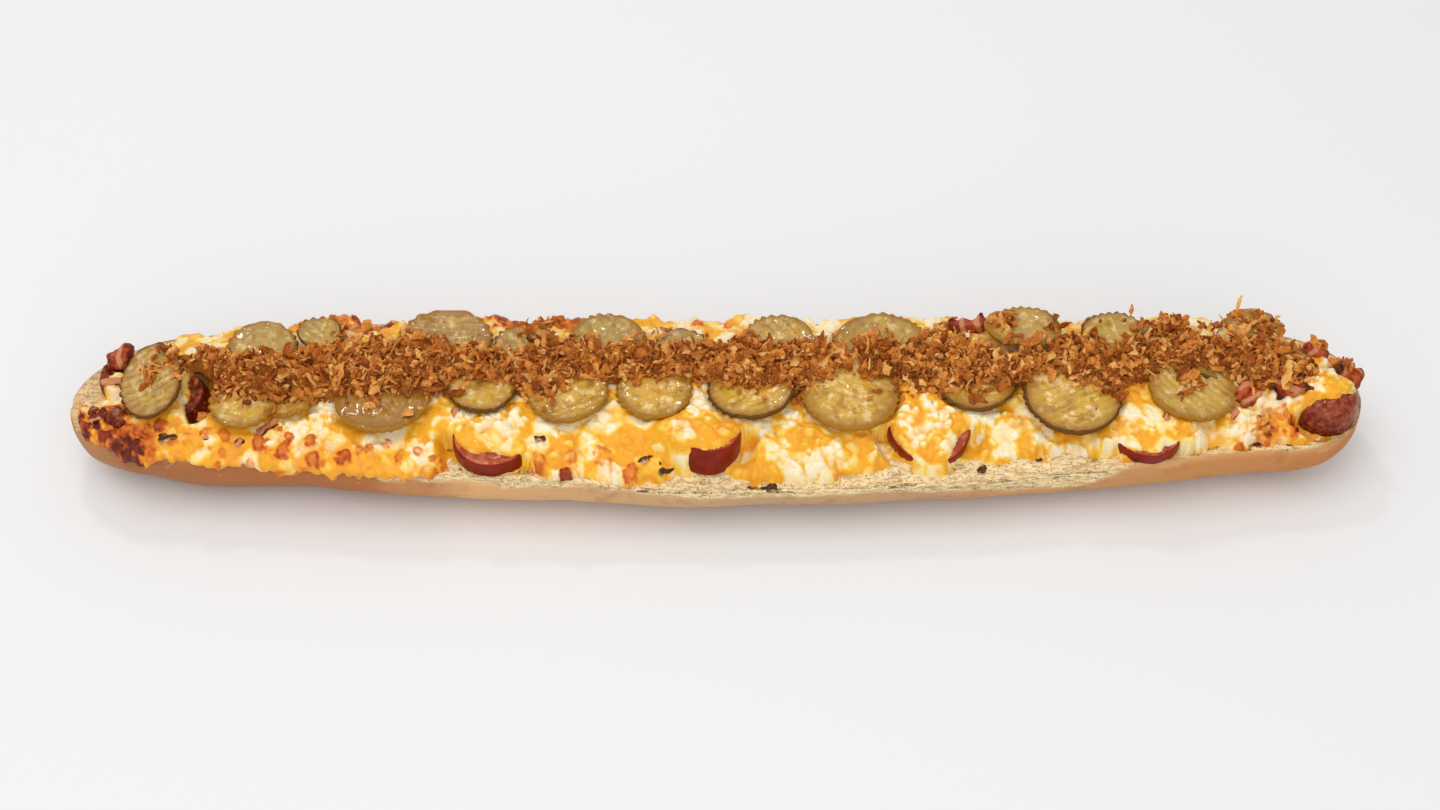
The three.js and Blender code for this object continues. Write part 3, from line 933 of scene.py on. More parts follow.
@dataclass(frozen=True)
class GherkinFinish:
    """Wet, see-through pickled flesh with pale seeds inside a thin dark olive skin; painted glints in its
    cloudy patches and on its ridge crests, painted shade in its ridge valleys.
    """

    flesh: Colour = srgb(214, 168, 66)
    dull: Colour = srgb(179, 148, 82)
    yellow: Colour = srgb(208, 170, 48)
    cloudy: Colour = srgb(250, 222, 158)
    deep: Colour = srgb(152, 100, 22)
    soaked: Colour = srgb(150, 98, 34)
    seed: Colour = srgb(240, 204, 134)
    under_skin: Colour = srgb(146, 96, 16)
    skin: Colour = srgb(164, 112, 14)
    skin_dark: Colour = srgb(102, 62, 2)

    def material(self) -> Material:
        """Reads the attributes radial, ridge, tone, rind and soaked, which the mesh carries.

        Returns:
            The material.
        """
        s = Shader("pickled_gherkin")
        radial, tone = s.attribute("radial"), s.attribute("tone")
        seeds = (1 - s.cells(3.1, s.place((1.0, 1.6, 1.0))).eased(0.14, 0.32))
        seeds = seeds * radial.eased(0.08, 0.25) * (1 - radial.eased(0.58, 0.72))
        ridge = s.attribute("ridge") + s.wobble(3.0, 0.5)
        edge = radial + s.wobble(2.4, 0.05)
        mottled = s.attribute("rind") + s.wobble(5.0, 1.6, 4)
        base = s.layered(
            self.flesh,
            (tone.eased(0.2, 0.9), self.dull),
            (s.noise(7.0, 3).eased(0.46, 0.66) * (1 - tone * 0.4) * 0.75, self.yellow),
            # Cloudy patches of flesh, which also stand in for wet glints: painted highlight.
            (s.noise(3.6, 4).eased(0.52, 0.66) * (0.85 - tone * 0.35), self.cloudy),
            ((1 - s.noise(5.0, 4, 0.6).eased(0.34, 0.54)) * 0.6, self.deep),
            (radial.eased(0.5, 0.95) * (0.55 - tone * 0.25), self.deep),
            ((s.attribute("soaked") + s.wobble(2.8, 1.2, 4, 0.6)).eased(0.1, 0.9) * 0.75, self.soaked),
            (seeds * 0.45, self.seed),
            # Painted highlight along the ridge crests, and painted shade in the valleys between them.
            (ridge.eased(0.62, 1.1) * 0.2, self.seed),
            ((1 - ridge.eased(-0.1, 0.36)) * 0.1, self.deep),
            (edge.eased(0.82, 0.93) * 0.6, self.under_skin),
            (edge.eased(0.925, 0.965), s.mix(mottled.eased(0.3, 0.7), self.skin, self.skin_dark)),
        )
        fibres = s.noise(1.3, 3) * 0.6 + s.noise(0.5, 2) * 0.15 + seeds * 0.35 + s.noise(4.0, 2) * 0.8
        rough = 0.22 + s.noise(3) * 0.2 + edge.eased(0.9, 0.97) * 0.3
        return s.principled(
            base, rough, Normal=s.bump(fibres, 0.6), Subsurface_Weight=0.3,
            Subsurface_Radius=(0.004, 0.0025, 0.0008), Subsurface_Scale=0.5,
            Coat_Weight=0.7 - edge.eased(0.9, 0.97) * 0.5, Coat_Roughness=0.09,
            Specular_IOR_Level=0.14,
        )


@dataclass
class Gherkins:
    """Crinkle-cut gherkin slices in two rows."""

    nodes: list[str] = field(default_factory=lambda: numbered("gherkin_slice", 25))
    front_row: int = 12
    sides: int = 84
    thickness: float = 2.1
    ridge_pitch: float = 3.1
    ridge_height: float = 0.19
    ridged: tuple[int, ...] = (0, 10, 11, 14)
    scallop: float = 0.6
    out_of_round: float = 0.018
    rounding: float = 0.75
    turned_up: float = 0.5
    hollow: float = 0.35
    grain: float = 0.26
    swell: float = 0.5
    dark_rinds: tuple[int, ...] = (0, 4, 7, 9, 10, 13, 15, 17, 21, 22)
    soaked: dict[int, float] = field(default_factory=lambda: {0: 0.35, 2: 0.2, 3: 0.85, 14: 0.5})
    plates: list[Plate] = field(default_factory=list)

    def __post_init__(self) -> None:
        """Reads where the slices lie."""
        self.plates = [Plate.read(node) for node in self.nodes]

    def tone(self, number: int) -> float:
        """How dull a slice is: the first one and the back row are duller than the rest of the front."""
        return 0.16 + 0.09 * (number % 3) if 0 < number < self.front_row else 0.8

    def profile(self) -> tuple[Array, Array, Array]:
        """Shares of the radius, heights over the top and how far out on the rounding, centre to centre."""
        edge = np.linspace(0.0, math.pi, 8)
        half = self.thickness / 2.0
        top = np.linspace(0.03, 1.0, 22, endpoint=False)
        low = np.linspace(1.0, 0.05, 7)[1:]
        share = np.concatenate([top, np.ones(8), low])
        out = np.concatenate([0.0 * top, np.sin(edge) * half * self.rounding, 0.0 * low])
        height = np.concatenate([0.0 * top, np.cos(edge) * half - half, 0.0 * low - 2 * half])
        return share, height, out

    def build(self) -> Object:
        """Makes all the slices as one.

        Returns:
            The piece.
        """
        dice = np.random.default_rng(11)
        share, height, out = (a[:, None] for a in self.profile())
        angle = round_about(self.sides)
        parts = Parts()
        for number, plate in enumerate(self.plates):
            way, phase = dice.uniform(0.0, math.pi), dice.uniform(0.0, 6.0)
            bend, bend_way = dice.uniform(-0.9, 1.1), dice.uniform(0.0, math.pi)
            strength = 1.0 if number in self.ridged else dice.uniform(0.25, 0.65)
            a, b = plate.radii
            ring = a * b / np.hypot(b * np.cos(angle), a * np.sin(angle))
            ring = ring * (1.0 + self.out_of_round * uneven(2.0 * angle, 1.0, number))
            rim = ring - self.thickness * 0.36
            p = np.cos(angle) * (rim * share + out)
            q = np.sin(angle) * (rim * share + out)
            wave = np.sin(2 * math.pi / self.ridge_pitch * (p * math.sin(way) - q * math.cos(way)) + phase)
            facing_ridge = np.abs(np.cos(angle - way))
            grown = 1.0 + self.scallop * wave * facing_ridge * ease(share, 0.85, 1.0) / ring
            p, q = p * grown, q * grown
            flat = np.hypot(p / a, q / b)
            bent = bend * ((p * math.cos(bend_way) + q * math.sin(bend_way)) / max(a, b)) ** 2
            sunk = -self.hollow * between(flat, 0.15, 0.5, 0.18) * (height > -1.0)
            place = at(p + 40.0 * number, q, height)
            uneven_top = noise(place, 2.6, 21, 2) * self.grain + noise(place, 7.0, 22) * self.swell
            h = height + self.ridge_height * strength * wave + bent + sunk + uneven_top
            h = h + self.turned_up * flat**2
            radial = np.minimum(1.0, flat + out / 6.0) * np.ones_like(p)
            parts.skin(
                plate.world(p, q, h), radial=radial, ridge=0.5 + 0.5 * wave * strength,
                tone=np.full_like(p, self.tone(number) + dice.uniform(-0.2, 0.2)),
                rind=np.full_like(p, 0.85 if number in self.dark_rinds else 0.2),
                soaked=np.full_like(p, self.soaked.get(number, 0.0)),
            )
        return parts.finished("gherkin_slices", GherkinFinish().material(), self.nodes)


# ---- Sausage slices ----


class SliceKind(Enum):
    """What a sausage slice is cut from."""

    MIDDLE = "cut on both sides"
    END = "the rounded end of the sausage"


@dataclass(frozen=True)
class SausageFinish:
    """Smoked sausage: tight glossy skin and a finer, browned cut face with specks of fat."""

    skin: Colour = srgb(136, 30, 3)
    skin_dark: Colour = srgb(110, 18, 0)
    skin_light: Colour = srgb(176, 76, 34)
    face: Colour = srgb(194, 104, 72)
    face_dark: Colour = srgb(158, 62, 34)
    fat: Colour = srgb(212, 148, 106)
    brown: Colour = srgb(72, 14, 0)
    caramel: Colour = srgb(192, 98, 44)

    def material(self) -> Material:
        """Reads the attributes skin and worn, which the mesh carries.

        Returns:
            The material.
        """
        s = Shader("smoked_sausage")
        skin = s.layered(
            self.skin,
            (s.noise(5, 4).eased(0.42, 0.68) * 0.8, self.skin_dark),
            (s.noise(2.6, 3).eased(0.62, 0.78) * 0.4, self.skin_light),
        )
        specks = 1 - s.cells(1.9).eased(0.14, 0.3)
        worn = s.attribute("worn") + s.wobble(3.0, 0.9, 4, 0.6)
        scorched = s.mix(s.noise(2.2, 4, 0.6).eased(0.48, 0.7), self.brown, self.caramel)
        base = s.layered(
            self.face,
            (s.noise(3.4, 4).eased(0.4, 0.62), self.face_dark),
            (specks * s.noise(6).eased(0.4, 0.6) * 0.5, self.fat),
            (s.attribute("skin"), skin),
            (worn.eased(0.3, 0.9) * 0.9, scorched),
        )
        relief = s.noise(1.2, 3) * 0.5 + s.noise(0.45, 3) * 0.25
        return s.principled(
            base, 0.28 + s.noise(2) * 0.2, Normal=s.bump(relief, 0.3), Subsurface_Weight=0.1,
            Subsurface_Radius=(0.003, 0.001, 0.0006), Subsurface_Scale=0.4, Coat_Weight=0.16,
            Coat_Roughness=0.1, Specular_IOR_Level=0.1,
        )


@dataclass
class Sausages:
    """Sausage slices bedded in the cheese, each bare along its front."""

    nodes: list[str] = field(default_factory=lambda: numbered("sausage_slice", 7))
    sides: int = 72
    easing: float = 1.1
    end_swell: float = 4.4
    end_easing: float = 3.6
    bulge: float = 0.35
    curl: float = 0.55
    out_of_round: float = 0.02
    browned: tuple[float, ...] = (0.62, 0.7, 0.05, 0.1, 0.15, 0.1, 0.62)
    wrinkles: tuple[float, ...] = (2.2, 0.5, 0.35, 0.35, 0.35, 0.35, 0.6)

    # How each lies against its node: degrees leant to the front, millimetres onward, thickness, and
    # for the shrunken first one millimetres sideways and a share of its size.
    lying: tuple[tuple[float, ...], ...] = (
        (6, 0.5, 8, 2.0, 0.7), (6, 0, 9), (8.5, 2.5, 10), (-15, 0.5, 13), (17, 2, 9), (13, 2, 9.5),
        (0, 0, 13.5),
    )
    plates: list[Plate] = field(default_factory=list)

    def __post_init__(self) -> None:
        """Reads where the slices lie."""
        self.plates = [Plate.read(node).leant(*lies) for node, lies in zip(self.nodes, self.lying)]

    def kind(self, number: int) -> SliceKind:
        """The last slice is the sausage's end."""
        return SliceKind.END if number == len(self.plates) - 1 else SliceKind.MIDDLE

    def crown(self, number: int, away: Array) -> Array:
        """How far a slice's top swells, at shares of its radius from the middle."""
        swell = self.end_swell if self.kind(number) is SliceKind.END else 0.0
        return swell * np.maximum(0.0, 1.0 - away**2)

    def build(self) -> Object:
        """Makes all the slices as one.

        Returns:
            The piece.
        """
        angle = round_about(self.sides)
        quarter = np.linspace(0.0, math.pi / 2, 6)[:, None]
        parts = Parts()
        for number, plate in enumerate(self.plates):
            radius = plate.radii[0] + self.easing
            tall = plate.thickness
            is_end = self.kind(number) is SliceKind.END
            e = self.end_easing if is_end else self.easing
            inner = np.linspace(0.04, 1.0, 12, endpoint=False)[:, None] * (radius - e)
            wall = np.linspace(0.0, 1.0, 9)[1:-1, None]
            foot = np.linspace(1.0, 0.1, 5)[1:, None] * (radius - e)
            r = np.concatenate([
                inner, radius - e + e * np.sin(quarter), radius + self.bulge * np.sin(math.pi * wall),
                radius - e + e * np.cos(quarter), foot,
            ])
            h = np.concatenate([
                0.0 * inner, e * np.cos(quarter) - e, -e - wall * (tall - 2 * e),
                -tall + e - e * np.sin(quarter), -tall + 0.0 * foot,
            ])
            skin = ease(r, radius - 0.9, radius - 0.4)
            dome = self.crown(number, r / radius) * (h > -e)
            if is_end:
                skin = 0.35 + 0.65 * ease(-h, 5.0, 11.0)
            r = r * (1.0 + self.out_of_round * uneven(2.0 * angle, 1.0, 3 * number))
            curl = self.curl * ease(r / radius, 0.7, 0.98) * (h > -tall / 2)
            p, q = r * np.cos(angle), r * np.sin(angle)
            h = h + dome + curl + 0.0 * q
            place = at(p + 50.0 * number, q, h)
            h = h + noise(place, 4.0, 31, 3) * self.wrinkles[number]
            parts.skin(
                plate.world(p, q, h), skin=skin * np.ones_like(p),
                # This also grows towards the slice's underside, darkening it there.
                worn=np.full_like(p, self.browned[number]) + 0.2 * ease(-h, 2.0, tall),
            )
        return parts.finished("sausage_slices", SausageFinish().material(), self.nodes)


# ---- Diced bacon and ham ----


@dataclass(frozen=True)
class BaconFinish:
    """Fried bacon: red lean and pale fat in bands, browned on the corners."""

    lean: Colour = srgb(154, 46, 12)
    lean_pink: Colour = srgb(190, 92, 48)
    fat: Colour = srgb(226, 166, 120)
    brown: Colour = srgb(64, 8, 0)
    caramel: Colour = srgb(160, 66, 18)

    def material(self) -> Material:
        """Reads the attributes fat and worn, which the mesh carries.

        Returns:
            The material.
        """
        s = Shader("fried_bacon")
        band = s.attribute("fat") + s.wobble(2.0, 0.5)
        browned = s.attribute("worn") + s.wobble(2.4, 0.8, 4)
        scorched = s.mix(s.noise(2.0, 4, 0.6).eased(0.5, 0.72), self.brown, self.caramel)
        base = s.layered(
            self.lean,
            (s.noise(3.0, 4).eased(0.4, 0.64), self.lean_pink),
            (band.eased(0.62, 0.85) * 0.6, self.fat),
            (browned.eased(0.35, 0.8) * 0.92, scorched),
        )
        relief = s.noise(1.2, 4) * 0.7 + s.noise(0.4, 3) * 0.2
        return s.principled(
            base, 0.3 + s.noise(2) * 0.2, Normal=s.bump(relief, 0.5), Subsurface_Weight=0.1,
            Subsurface_Radius=(0.003, 0.001, 0.0006), Subsurface_Scale=0.4, Coat_Weight=0.14,
            Coat_Roughness=0.12, Specular_IOR_Level=0.08,
        )


@dataclass
class Bacon:
    """Diced pieces, grown from the CAD solids: remeshed, softened and shrunk unevenly."""

    nodes: list[str] = field(default_factory=lambda: numbered("bacon_piece", 9))
    voxel: float = 0.75
    ruffle: float = 1.7
    crinkle: float = 0.5
    growth: float = 0.4
    band_height: float = 0.35
    softening: float = 0.6
    browned: tuple[float, ...] = (0.6, 1.4, 1.3, 0.3, 0.3, 0.8, 0.5, 0.5, 0.5)
    shares: tuple[float, ...] = (0.9, 0.5, 0.64, 0.95, 0.95, 0.95, 0.8, 0.8, 0.95)

    def build(self) -> Object:
        """Makes all the pieces as one.

        Returns:
            The piece.
        """
        parts = Parts()
        for number, node in enumerate(self.nodes):
            merged = bmesh.new()
            merged.from_mesh(frame["nodes"][node].data)
            bmesh.ops.remove_doubles(merged, verts=merged.verts, dist=1e-6)
            mesh = bpy.data.meshes.new("bacon_blank")
            merged.to_mesh(mesh)
            merged.free()
            blank = linked("bacon_blank", mesh)
            remesh = blank.modifiers.new("remesh", "REMESH")
            remesh.mode, remesh.voxel_size = "VOXEL", self.voxel * MM
            soften = blank.modifiers.new("soften", "SMOOTH")
            soften.factor, soften.iterations = self.softening, 5
            shape = evaluated(blank)
            points = np.array([v.co for v in shape.vertices]) / MM
            normals = np.array([v.normal for v in shape.vertices])
            faces = [list(p.vertices) for p in shape.polygons]
            middle = points.mean(0)
            foot = np.array([middle[0], middle[1], points[:, 2].min()])
            points = foot + (points - foot) * self.shares[number]
            way = np.array([math.cos(2.1 * number), math.sin(2.1 * number), 0.5])
            bands = 0.5 + 0.5 * np.sin((points - middle) @ way * 1.1 + number)
            grown = noise(points, 4.5, 41 + number, 3) * self.ruffle
            grown = grown + self.band_height * bands + self.growth
            grown = grown + noise(points, 1.9, 61 + number, 2) * self.crinkle
            corner = np.linalg.norm(points - middle, axis=1)
            worn = ease(corner / corner.max(), 0.55, 1.05) * 0.6 + self.browned[number] * 0.5
            parts.add(points + normals * grown[:, None], faces, fat=bands, worn=worn)
            dispose(blank)
            bpy.data.meshes.remove(shape)
        return parts.finished("bacon_pieces", BaconFinish().material(), self.nodes)


# ---- Cheese ----


@dataclass(frozen=True)
class Spot:
    """A round patch: its middle and radius, in the form's own frame, and how strong it is there."""

    x: float
    y: float
    radius: float
    strength: float = 1.0

    def nearness(self, x: Array, y: Array, warp: Array) -> Array:
        """Falls from 1 at the middle through 0 at the rim; warp makes the rim ragged."""
        away = np.hypot(x - self.x, y - self.y) / self.radius
        return 1.0 - away + warp


@dataclass(frozen=True)
class Lip:
    """Where the cheese stops on a sausage slice.

    The insets are pairs of an angle round the slice, in degrees with -90 at its front, and how many
    millimetres the cheese stops short of the slice's rim there. Below 0 it hangs over the rim.
    """

    insets: tuple[tuple[float, float], ...]
    film: float = 1.8
    before: float = 0.7
    skirt: float = 2.8

    def inset(self, p: Array, q: Array) -> Array:
        """The inset at places in the slice's own axes."""
        angles, insets = np.array(self.insets).T
        return np.interp(np.degrees(np.arctan2(q, p)), angles, insets)


@dataclass(frozen=True)
class Bed:
    """What the cheese lies on: rows of places s and t, which are x and y in the form's own frame,
    their points on the bread, and the way that the cheese grows out from there.
    """

    s: Array
    t: Array
    x: Array
    y: Array
    points: Array
    growth: Array

    def out(self, thick: Array) -> Array:
        """The points that far out of the bread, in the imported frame."""
        return self.points + self.growth * thick[..., None] + SHIFT


@dataclass(frozen=True)
class CheeseFinish:
    """Two melted cheeses, one white and curdy and one orange, toasted brown where they stand proud, with
    painted shade in the creases between curds.
    """

    melt: Ramp = ramp_stops(
        (0.0, 246, 172, 38), (0.25, 254, 196, 60), (0.5, 254, 202, 78), (0.74, 254, 218, 126),
        (1.0, 253, 239, 206),
    )
    crease: Colour = srgb(234, 150, 44)
    toasting: Ramp = ramp_stops(
        (0.0, 250, 176, 66), (0.3, 234, 138, 38), (0.55, 204, 98, 26), (0.8, 142, 50, 10),
        (1.0, 96, 28, 5),
    )

    def material(self) -> Material:
        """Reads the attributes white, crease and toast, which the mesh carries.

        Returns:
            The material.
        """
        s = Shader("melted_cheese")
        fine = s.noise(1.2, 4, 0.6)
        share = s.attribute("white") + s.wobble(2.4, 0.3, 4, 0.6) + (fine - 0.5) * 0.18
        shadowed = s.attribute("crease") + s.wobble(1.6, 0.6, 4, 0.6)
        toasted = s.attribute("toast")
        toast = toasted + s.wobble(1.5, 0.4, 4, 0.6) * toasted.eased(0.0, 0.3)
        base = s.layered(
            s.ramp(self.melt, share),
            # Painted shade: an orange-brown darkening in the creases between curds.
            (shadowed.eased(0.1, 1.1) * 0.7, self.crease),
            (toast.eased(0.04, 0.42), s.ramp(self.toasting, toast)),
        )
        relief = s.noise(2.2, 3) * 0.45 + fine * 0.35 + s.noise(0.6, 3) * 0.12
        roughness = 0.34 + s.noise(3) * 0.16 + share.eased(0.5, 0.9) * 0.1 - toast.eased(0.3, 0.6) * 0.12
        return s.principled(
            base, roughness, Normal=s.bump(relief, 0.8), Subsurface_Weight=0.16,
            Subsurface_Radius=(0.006, 0.003, 0.0012), Subsurface_Scale=0.2, Coat_Weight=0.26,
            Coat_Roughness=0.1, Specular_IOR_Level=0.12,
        )


@dataclass
class Cheese:
    """The melted cheese: a mound over the crumb that drapes the sausage and runs over the crust."""

    gherkins: Gherkins
    sausages: Sausages
    start: float = -0.955
    stop: float = 0.972
    front_start: float = -0.986
    edge: float = 1.7
    mound: float = 9.5
    bank: float = 2.0
    sunk: float = 1.0
    margin: float = 3.0
    rising: float = 0.62
    brink: float = 1.1
    fall: float = 7.0
    crown: float = 1.2
    rounding: float = 2.2
    lump_size: float = 7.8
    curd_size: float = 4.4
    lump_height: float = 1.8
    curd_height: float = 1.1
    sag: float = 0.4
    blister_size: float = 4.0
    blister_height: float = 0.8
    spot_height: float = 1.5
    over_gherkins: float = 0.1
    steepest: float = 78.0
    lowest: float = 72.0
    count: int = 780

    # Where it stops on each sausage slice.
    lips: tuple[Lip, ...] = (
        Lip(((-180, 13), (-160, 8), (-142, 2), (-125, -0.5), (-60, -1), (-34, 1), (-14, 8),
             (10, 13)), film=0.8, skirt=4.0, before=2.4),
        Lip(((-80, -8), (-60, 4), (30, 6), (60, 4), (80, -8)), film=1.4),
        Lip(((-180, 0.4), (-165, 1.0), (-145, 2.4), (-120, 4.6), (-100, 6.4), (-80, 6.4),
             (-66, 4.4), (-52, 1.6), (-40, 0.2), (-34, -8), (174, -8), (180, 0.4)), film=1.2,
            before=0.4),
        Lip(((-180, -8), (-140, -3), (-126, -1.4), (-112, 0.3), (-90, 0.8), (-50, 1.4),
             (-15, 1.2), (0, -1), (10, -8)), film=1.8, before=1.8),
        Lip(((-180, -8), (-176, 0.6), (-150, 1.3), (-126, 1.3), (-116, 0.3), (-110, -1.6),
             (-72, -1.6), (-64, 0.3), (-52, 2.6), (-36, 3.6), (-18, 2.8), (-8, 0.4), (0, -8)),
            film=1.9, skirt=1.4, before=0.3),
        Lip(((-180, -8), (-156, -6), (-148, 0.4), (-120, 1.0), (-104, 1.8), (-80, 1.4),
             (-60, 2.0), (-34, 0.6), (-26, -6), (180, -8)), film=1.2, before=0.3),
        Lip(((-180, -5), (-152, -4), (-138, 1.0), (-118, 3.6), (-90, 4.6), (-60, 3.8),
             (-44, 5.0), (-24, 2.6), (0, 0.8), (14, 0.2), (24, -4), (180, -6)), film=0.9,
            skirt=3.0, before=0.4),
    )

    # How far past the crust's edge the cheese reaches along the front: place along the loaf, reach.
    front: tuple[tuple[float, float], ...] = (
        (-244, 1), (-236, 1), (-228, 2), (-221, 5), (-214, 6), (-206, 0), (-190, 1), (-176, 2),
        (-166, 5), (-156, 3), (-146, 5), (-134, 2), (-120, 3), (-108, 1), (-98, -5), (-84, -8),
        (-70, -6), (-62, 0), (-50, -2), (-36, 0), (-26, -3), (-14, -7), (0, -8), (10, -5), (20, -3),
        (34, -2), (48, -5), (62, -7), (76, -9), (90, -9), (104, -8), (118, -9), (134, -9), (148, -8),
        (160, -9), (172, -6), (186, -4), (200, -3), (214, -4), (228, -5), (240, -4),
    )

    # Curds of the white cheese, each as high as it is strong.
    curds: tuple[Spot, ...] = each(
        Spot, (-245, -6, 3.4, 0.6), (-240, -7, 4, 0.8), (-234, -6.5, 4, 0.8), (-228, -5, 4.4, 0.7),
        (-222, -6, 4, 0.4), (-199, -15.5, 5.5, 0.9), (-205, -9, 5), (-202, -14, 5), (-154, -11, 6),
        (-148, -15, 7), (-159, -18, 6), (-152, -22, 5), (-122, -24, 5), (-128, -28, 4),
        (-110, -31, 6, 0.7), (-108, -4, 5), (-94, -18, 7), (-84, -17, 7), (-76, -21, 6), (-58, -21, 7),
        (-52, -18, 5), (-44, -11, 6), (-46, -31, 4), (-10, -9, 7), (-7, -18, 7), (-2, -13, 6),
        (16, -17, 8), (22, -31, 7), (35, -12, 4), (28, -18, 5), (36, -37, 7, 0.7), (42, -32, 5),
        (61, -26, 5), (80, -3, 6), (71, -19, 6), (82, -20, 7), (86, -29, 6), (76, -26, 6), (101, -17, 7),
        (107, -24, 7), (122, -21, 6), (130, -27, 6), (101, -33, 3), (94, -35, 3), (149, -33, 5, 0.6),
        (155, -19, 4, 1.4), (162, -21, 5), (182, -21, 7, 0.6), (198, -20, 8), (203, -12, 7),
        (224, -5, 5, 0.4), (217, -9, 4, 0.6), (234, 1, 5, 0.5), (237, 10, 6, 0.5), (-236, -20, 2.4, 0.8),
        (-222, -16, 2, 0.5), (-219, -28, 2, 0.5), (-196, 22, 7, 0.6), (-202, 18, 5, 0.6),
        (-160, 36, 7, 0.5), (-138, 34, 6, 0.5), (30, 34, 9, 0.4), (42, 36, 8, 0.4), (186, 34, 9, 0.5),
        (196, 32, 7, 0.5),
    )

    # Smooth patches of the orange cheese.
    cheddar: tuple[Spot, ...] = each(
        Spot, (-184, -24, 11), (-140, -28, 9), (-108, -22, 10), (-80, -10, 7), (-34, -24, 14),
        (-62, -34, 8), (6, -12, 6), (52, -30, 8), (68, -33, 6), (84, -12, 6), (86, -37, 5), (112, -30, 7),
        (140, -34, 6), (165, -15, 5), (168, -27, 4), (208, -17, 5), (230, -10, 6), (-14, -30, 8),
        (166, 34, 6), (224, 27, 6), (-128, 30, 5), (26, -25, 5), (122, -33, 5), (48, -20, 5),
        (-176, -30, 9), (-163, -33, 7), (-150, -35, 6), (-136, -35, 6), (-122, -35, 6), (-169, -16, 5),
        (186, -29, 6), (176, -22, 4), (96, -25, 5), (-98, -30, 5),
    )

    # Toasted spots and blisters.
    toasted: tuple[Spot, ...] = each(
        Spot, (-219.5, -30, 6.5, 1.15), (-224, -29, 4, 1.1), (-241.5, -15, 3.2), (-233.5, -15.5, 4, 1.1),
        (-225, -15, 4, 1.05), (-238, -19, 3, 0.9), (-239, -23, 3.6, 1.05), (-229, -23, 3.4, 0.95),
        (-226, -27, 4.4, 0.9), (-234, -28, 3.4, 0.8), (-220, -21, 3, 0.75), (-214, -15, 5, 0.45),
        (-209, -20, 3.4), (-213.5, -21.5, 3, 0.8), (-218, -25, 3, 0.7), (-212, -26, 3, 0.5),
        (-198, -25, 2.4, 0.5), (-191, -23, 2.4, 0.6), (-184, -24, 3, 0.55), (-171, -27, 3.5, 0.7),
        (-162, -29, 3.5, 0.75), (-160, -25, 2, 0.6), (-152, -27, 2.6, 0.6), (-150, -33, 2.6, 0.75),
        (-139, -33, 3.2, 0.8), (-129, -30, 2.4, 0.55), (-123, -28, 2, 0.5), (-118, -33, 2.4, 0.55),
        (-111, -31, 2, 0.5), (-98, -10, 3, 0.8), (-66, -36, 3, 0.7), (-54, -34, 3, 0.4),
        (-56, -41, 3, 0.9), (-42, -34, 4, 0.4), (-32, -39, 2.6, 0.6), (-8, -42, 2.5, 0.85),
        (3, -12, 4, 0.4), (213.5, -26.5, 3), (217.5, -17.5, 3, 0.95), (196, -27, 2.6, 0.7),
        (206, -23, 3, 0.55), (226, -15, 4, 0.5), (221, -11, 3.4, 0.45), (233, -15, 3, 0.6),
        (212, -14, 4, 0.42), (209, -19, 3, 0.45), (240, -8, 4, 0.55), (238, -13, 3, 0.7),
        (-176, 37, 5, 0.8), (-166, 41, 5, 0.6), (-154, 41, 6, 0.95), (-140, 40, 6, 0.95), (-130, 35, 4),
        (-118, 38, 6, 0.8), (-100, 37, 6, 0.7), (-84, 36, 6, 0.9), (-72, 36, 5, 0.8), (-58, 35, 5, 0.6),
        (-36, 38, 3, 0.4), (-22, 31, 3, 0.4), (-8, 33, 3, 0.6), (5, 33, 3, 0.5), (60, 32, 5, 0.45),
        (150, 38, 6, 0.6), (-148, 35, 5, 0.6), (-124, 40, 5, 0.9), (-108, 33, 4, 0.7), (232, 22, 4, 0.5),
    )

    def height(self, x: Array, y: Array) -> Array:
        """The smooth height of the cheese over a place, before sausage, curds and outline.

        Args:
            x: places along the loaf, in millimetres.
            y: places across it, in the form's own frame.

        Returns:
            The heights.
        """
        s = np.clip(FORM.s_of(x), -0.995, 0.995)
        t = FORM.across(s, y)
        fallen = 0.9 * np.maximum(0.0, np.abs(t) - 1.0) * FORM.half(s)
        return FORM.cut_face(s, t) + self.thickness(s, t, x, y) - fallen

    def thickness(self, s: Array, t: Array, x: Array, y: Array) -> Array:
        """Its thickness there.

        Args:
            s: places along the loaf.
            t: places across it.
            x: the places along in millimetres.
            y: the places across in millimetres.

        Returns:
            The thickness, out of the bread.
        """
        side = np.clip(np.abs(t), 0.0, 1.0)
        mound = self.mound * (1.0 - side**2.3) * rounded_end(s, 9)
        bank = self.bank * ease(t, 0.4, 0.85) * between(s, -0.72, 0.86, 0.08)
        rough = uneven(0.19 * x + 0.13 * y, 0.8, 4) + uneven(0.31 * y - 0.11 * x, 0.6, 6)
        return self.edge + mound + bank + rough

    def reaches(self, s: Array) -> tuple[Array, Array]:
        """How far it spreads from the centre line, along the surface, to the front and to the back."""
        ends = [spanned(s, start, self.stop, 70) for start in (self.front_start, self.start)]
        places, reach = np.array(self.front).T
        front = FORM.half(s) + np.interp(FORM.x_of(s), places, reach) + uneven(61 * s, 1.2, 3)
        back = FORM.half(s) + 1.2 + uneven(27 * s, 2.2, 5)
        back = back - 7.0 * ease(-s, 0.82, 0.93) - 3.0 * ease(s, 0.86, 0.96)
        return front * ends[0], back * ends[1]

    def clearance(self, s: Array) -> Array:
        """How far to the front of the centre line the cheese must go to fall clear of the sausage."""
        x = FORM.x_of(s)
        needed = np.zeros_like(s)
        for plate in self.sausages.plates:
            far = plate.radii[0] + self.fall
            chord = np.sqrt(np.clip(far**2 - (x - plate.middle[0]) ** 2, 0.0, None))
            out = FORM.centre_line(s) + SHIFT[1] - plate.middle[1] + chord
            needed = np.maximum(needed, np.where(chord > 0.0, out, 0.0))
        return needed

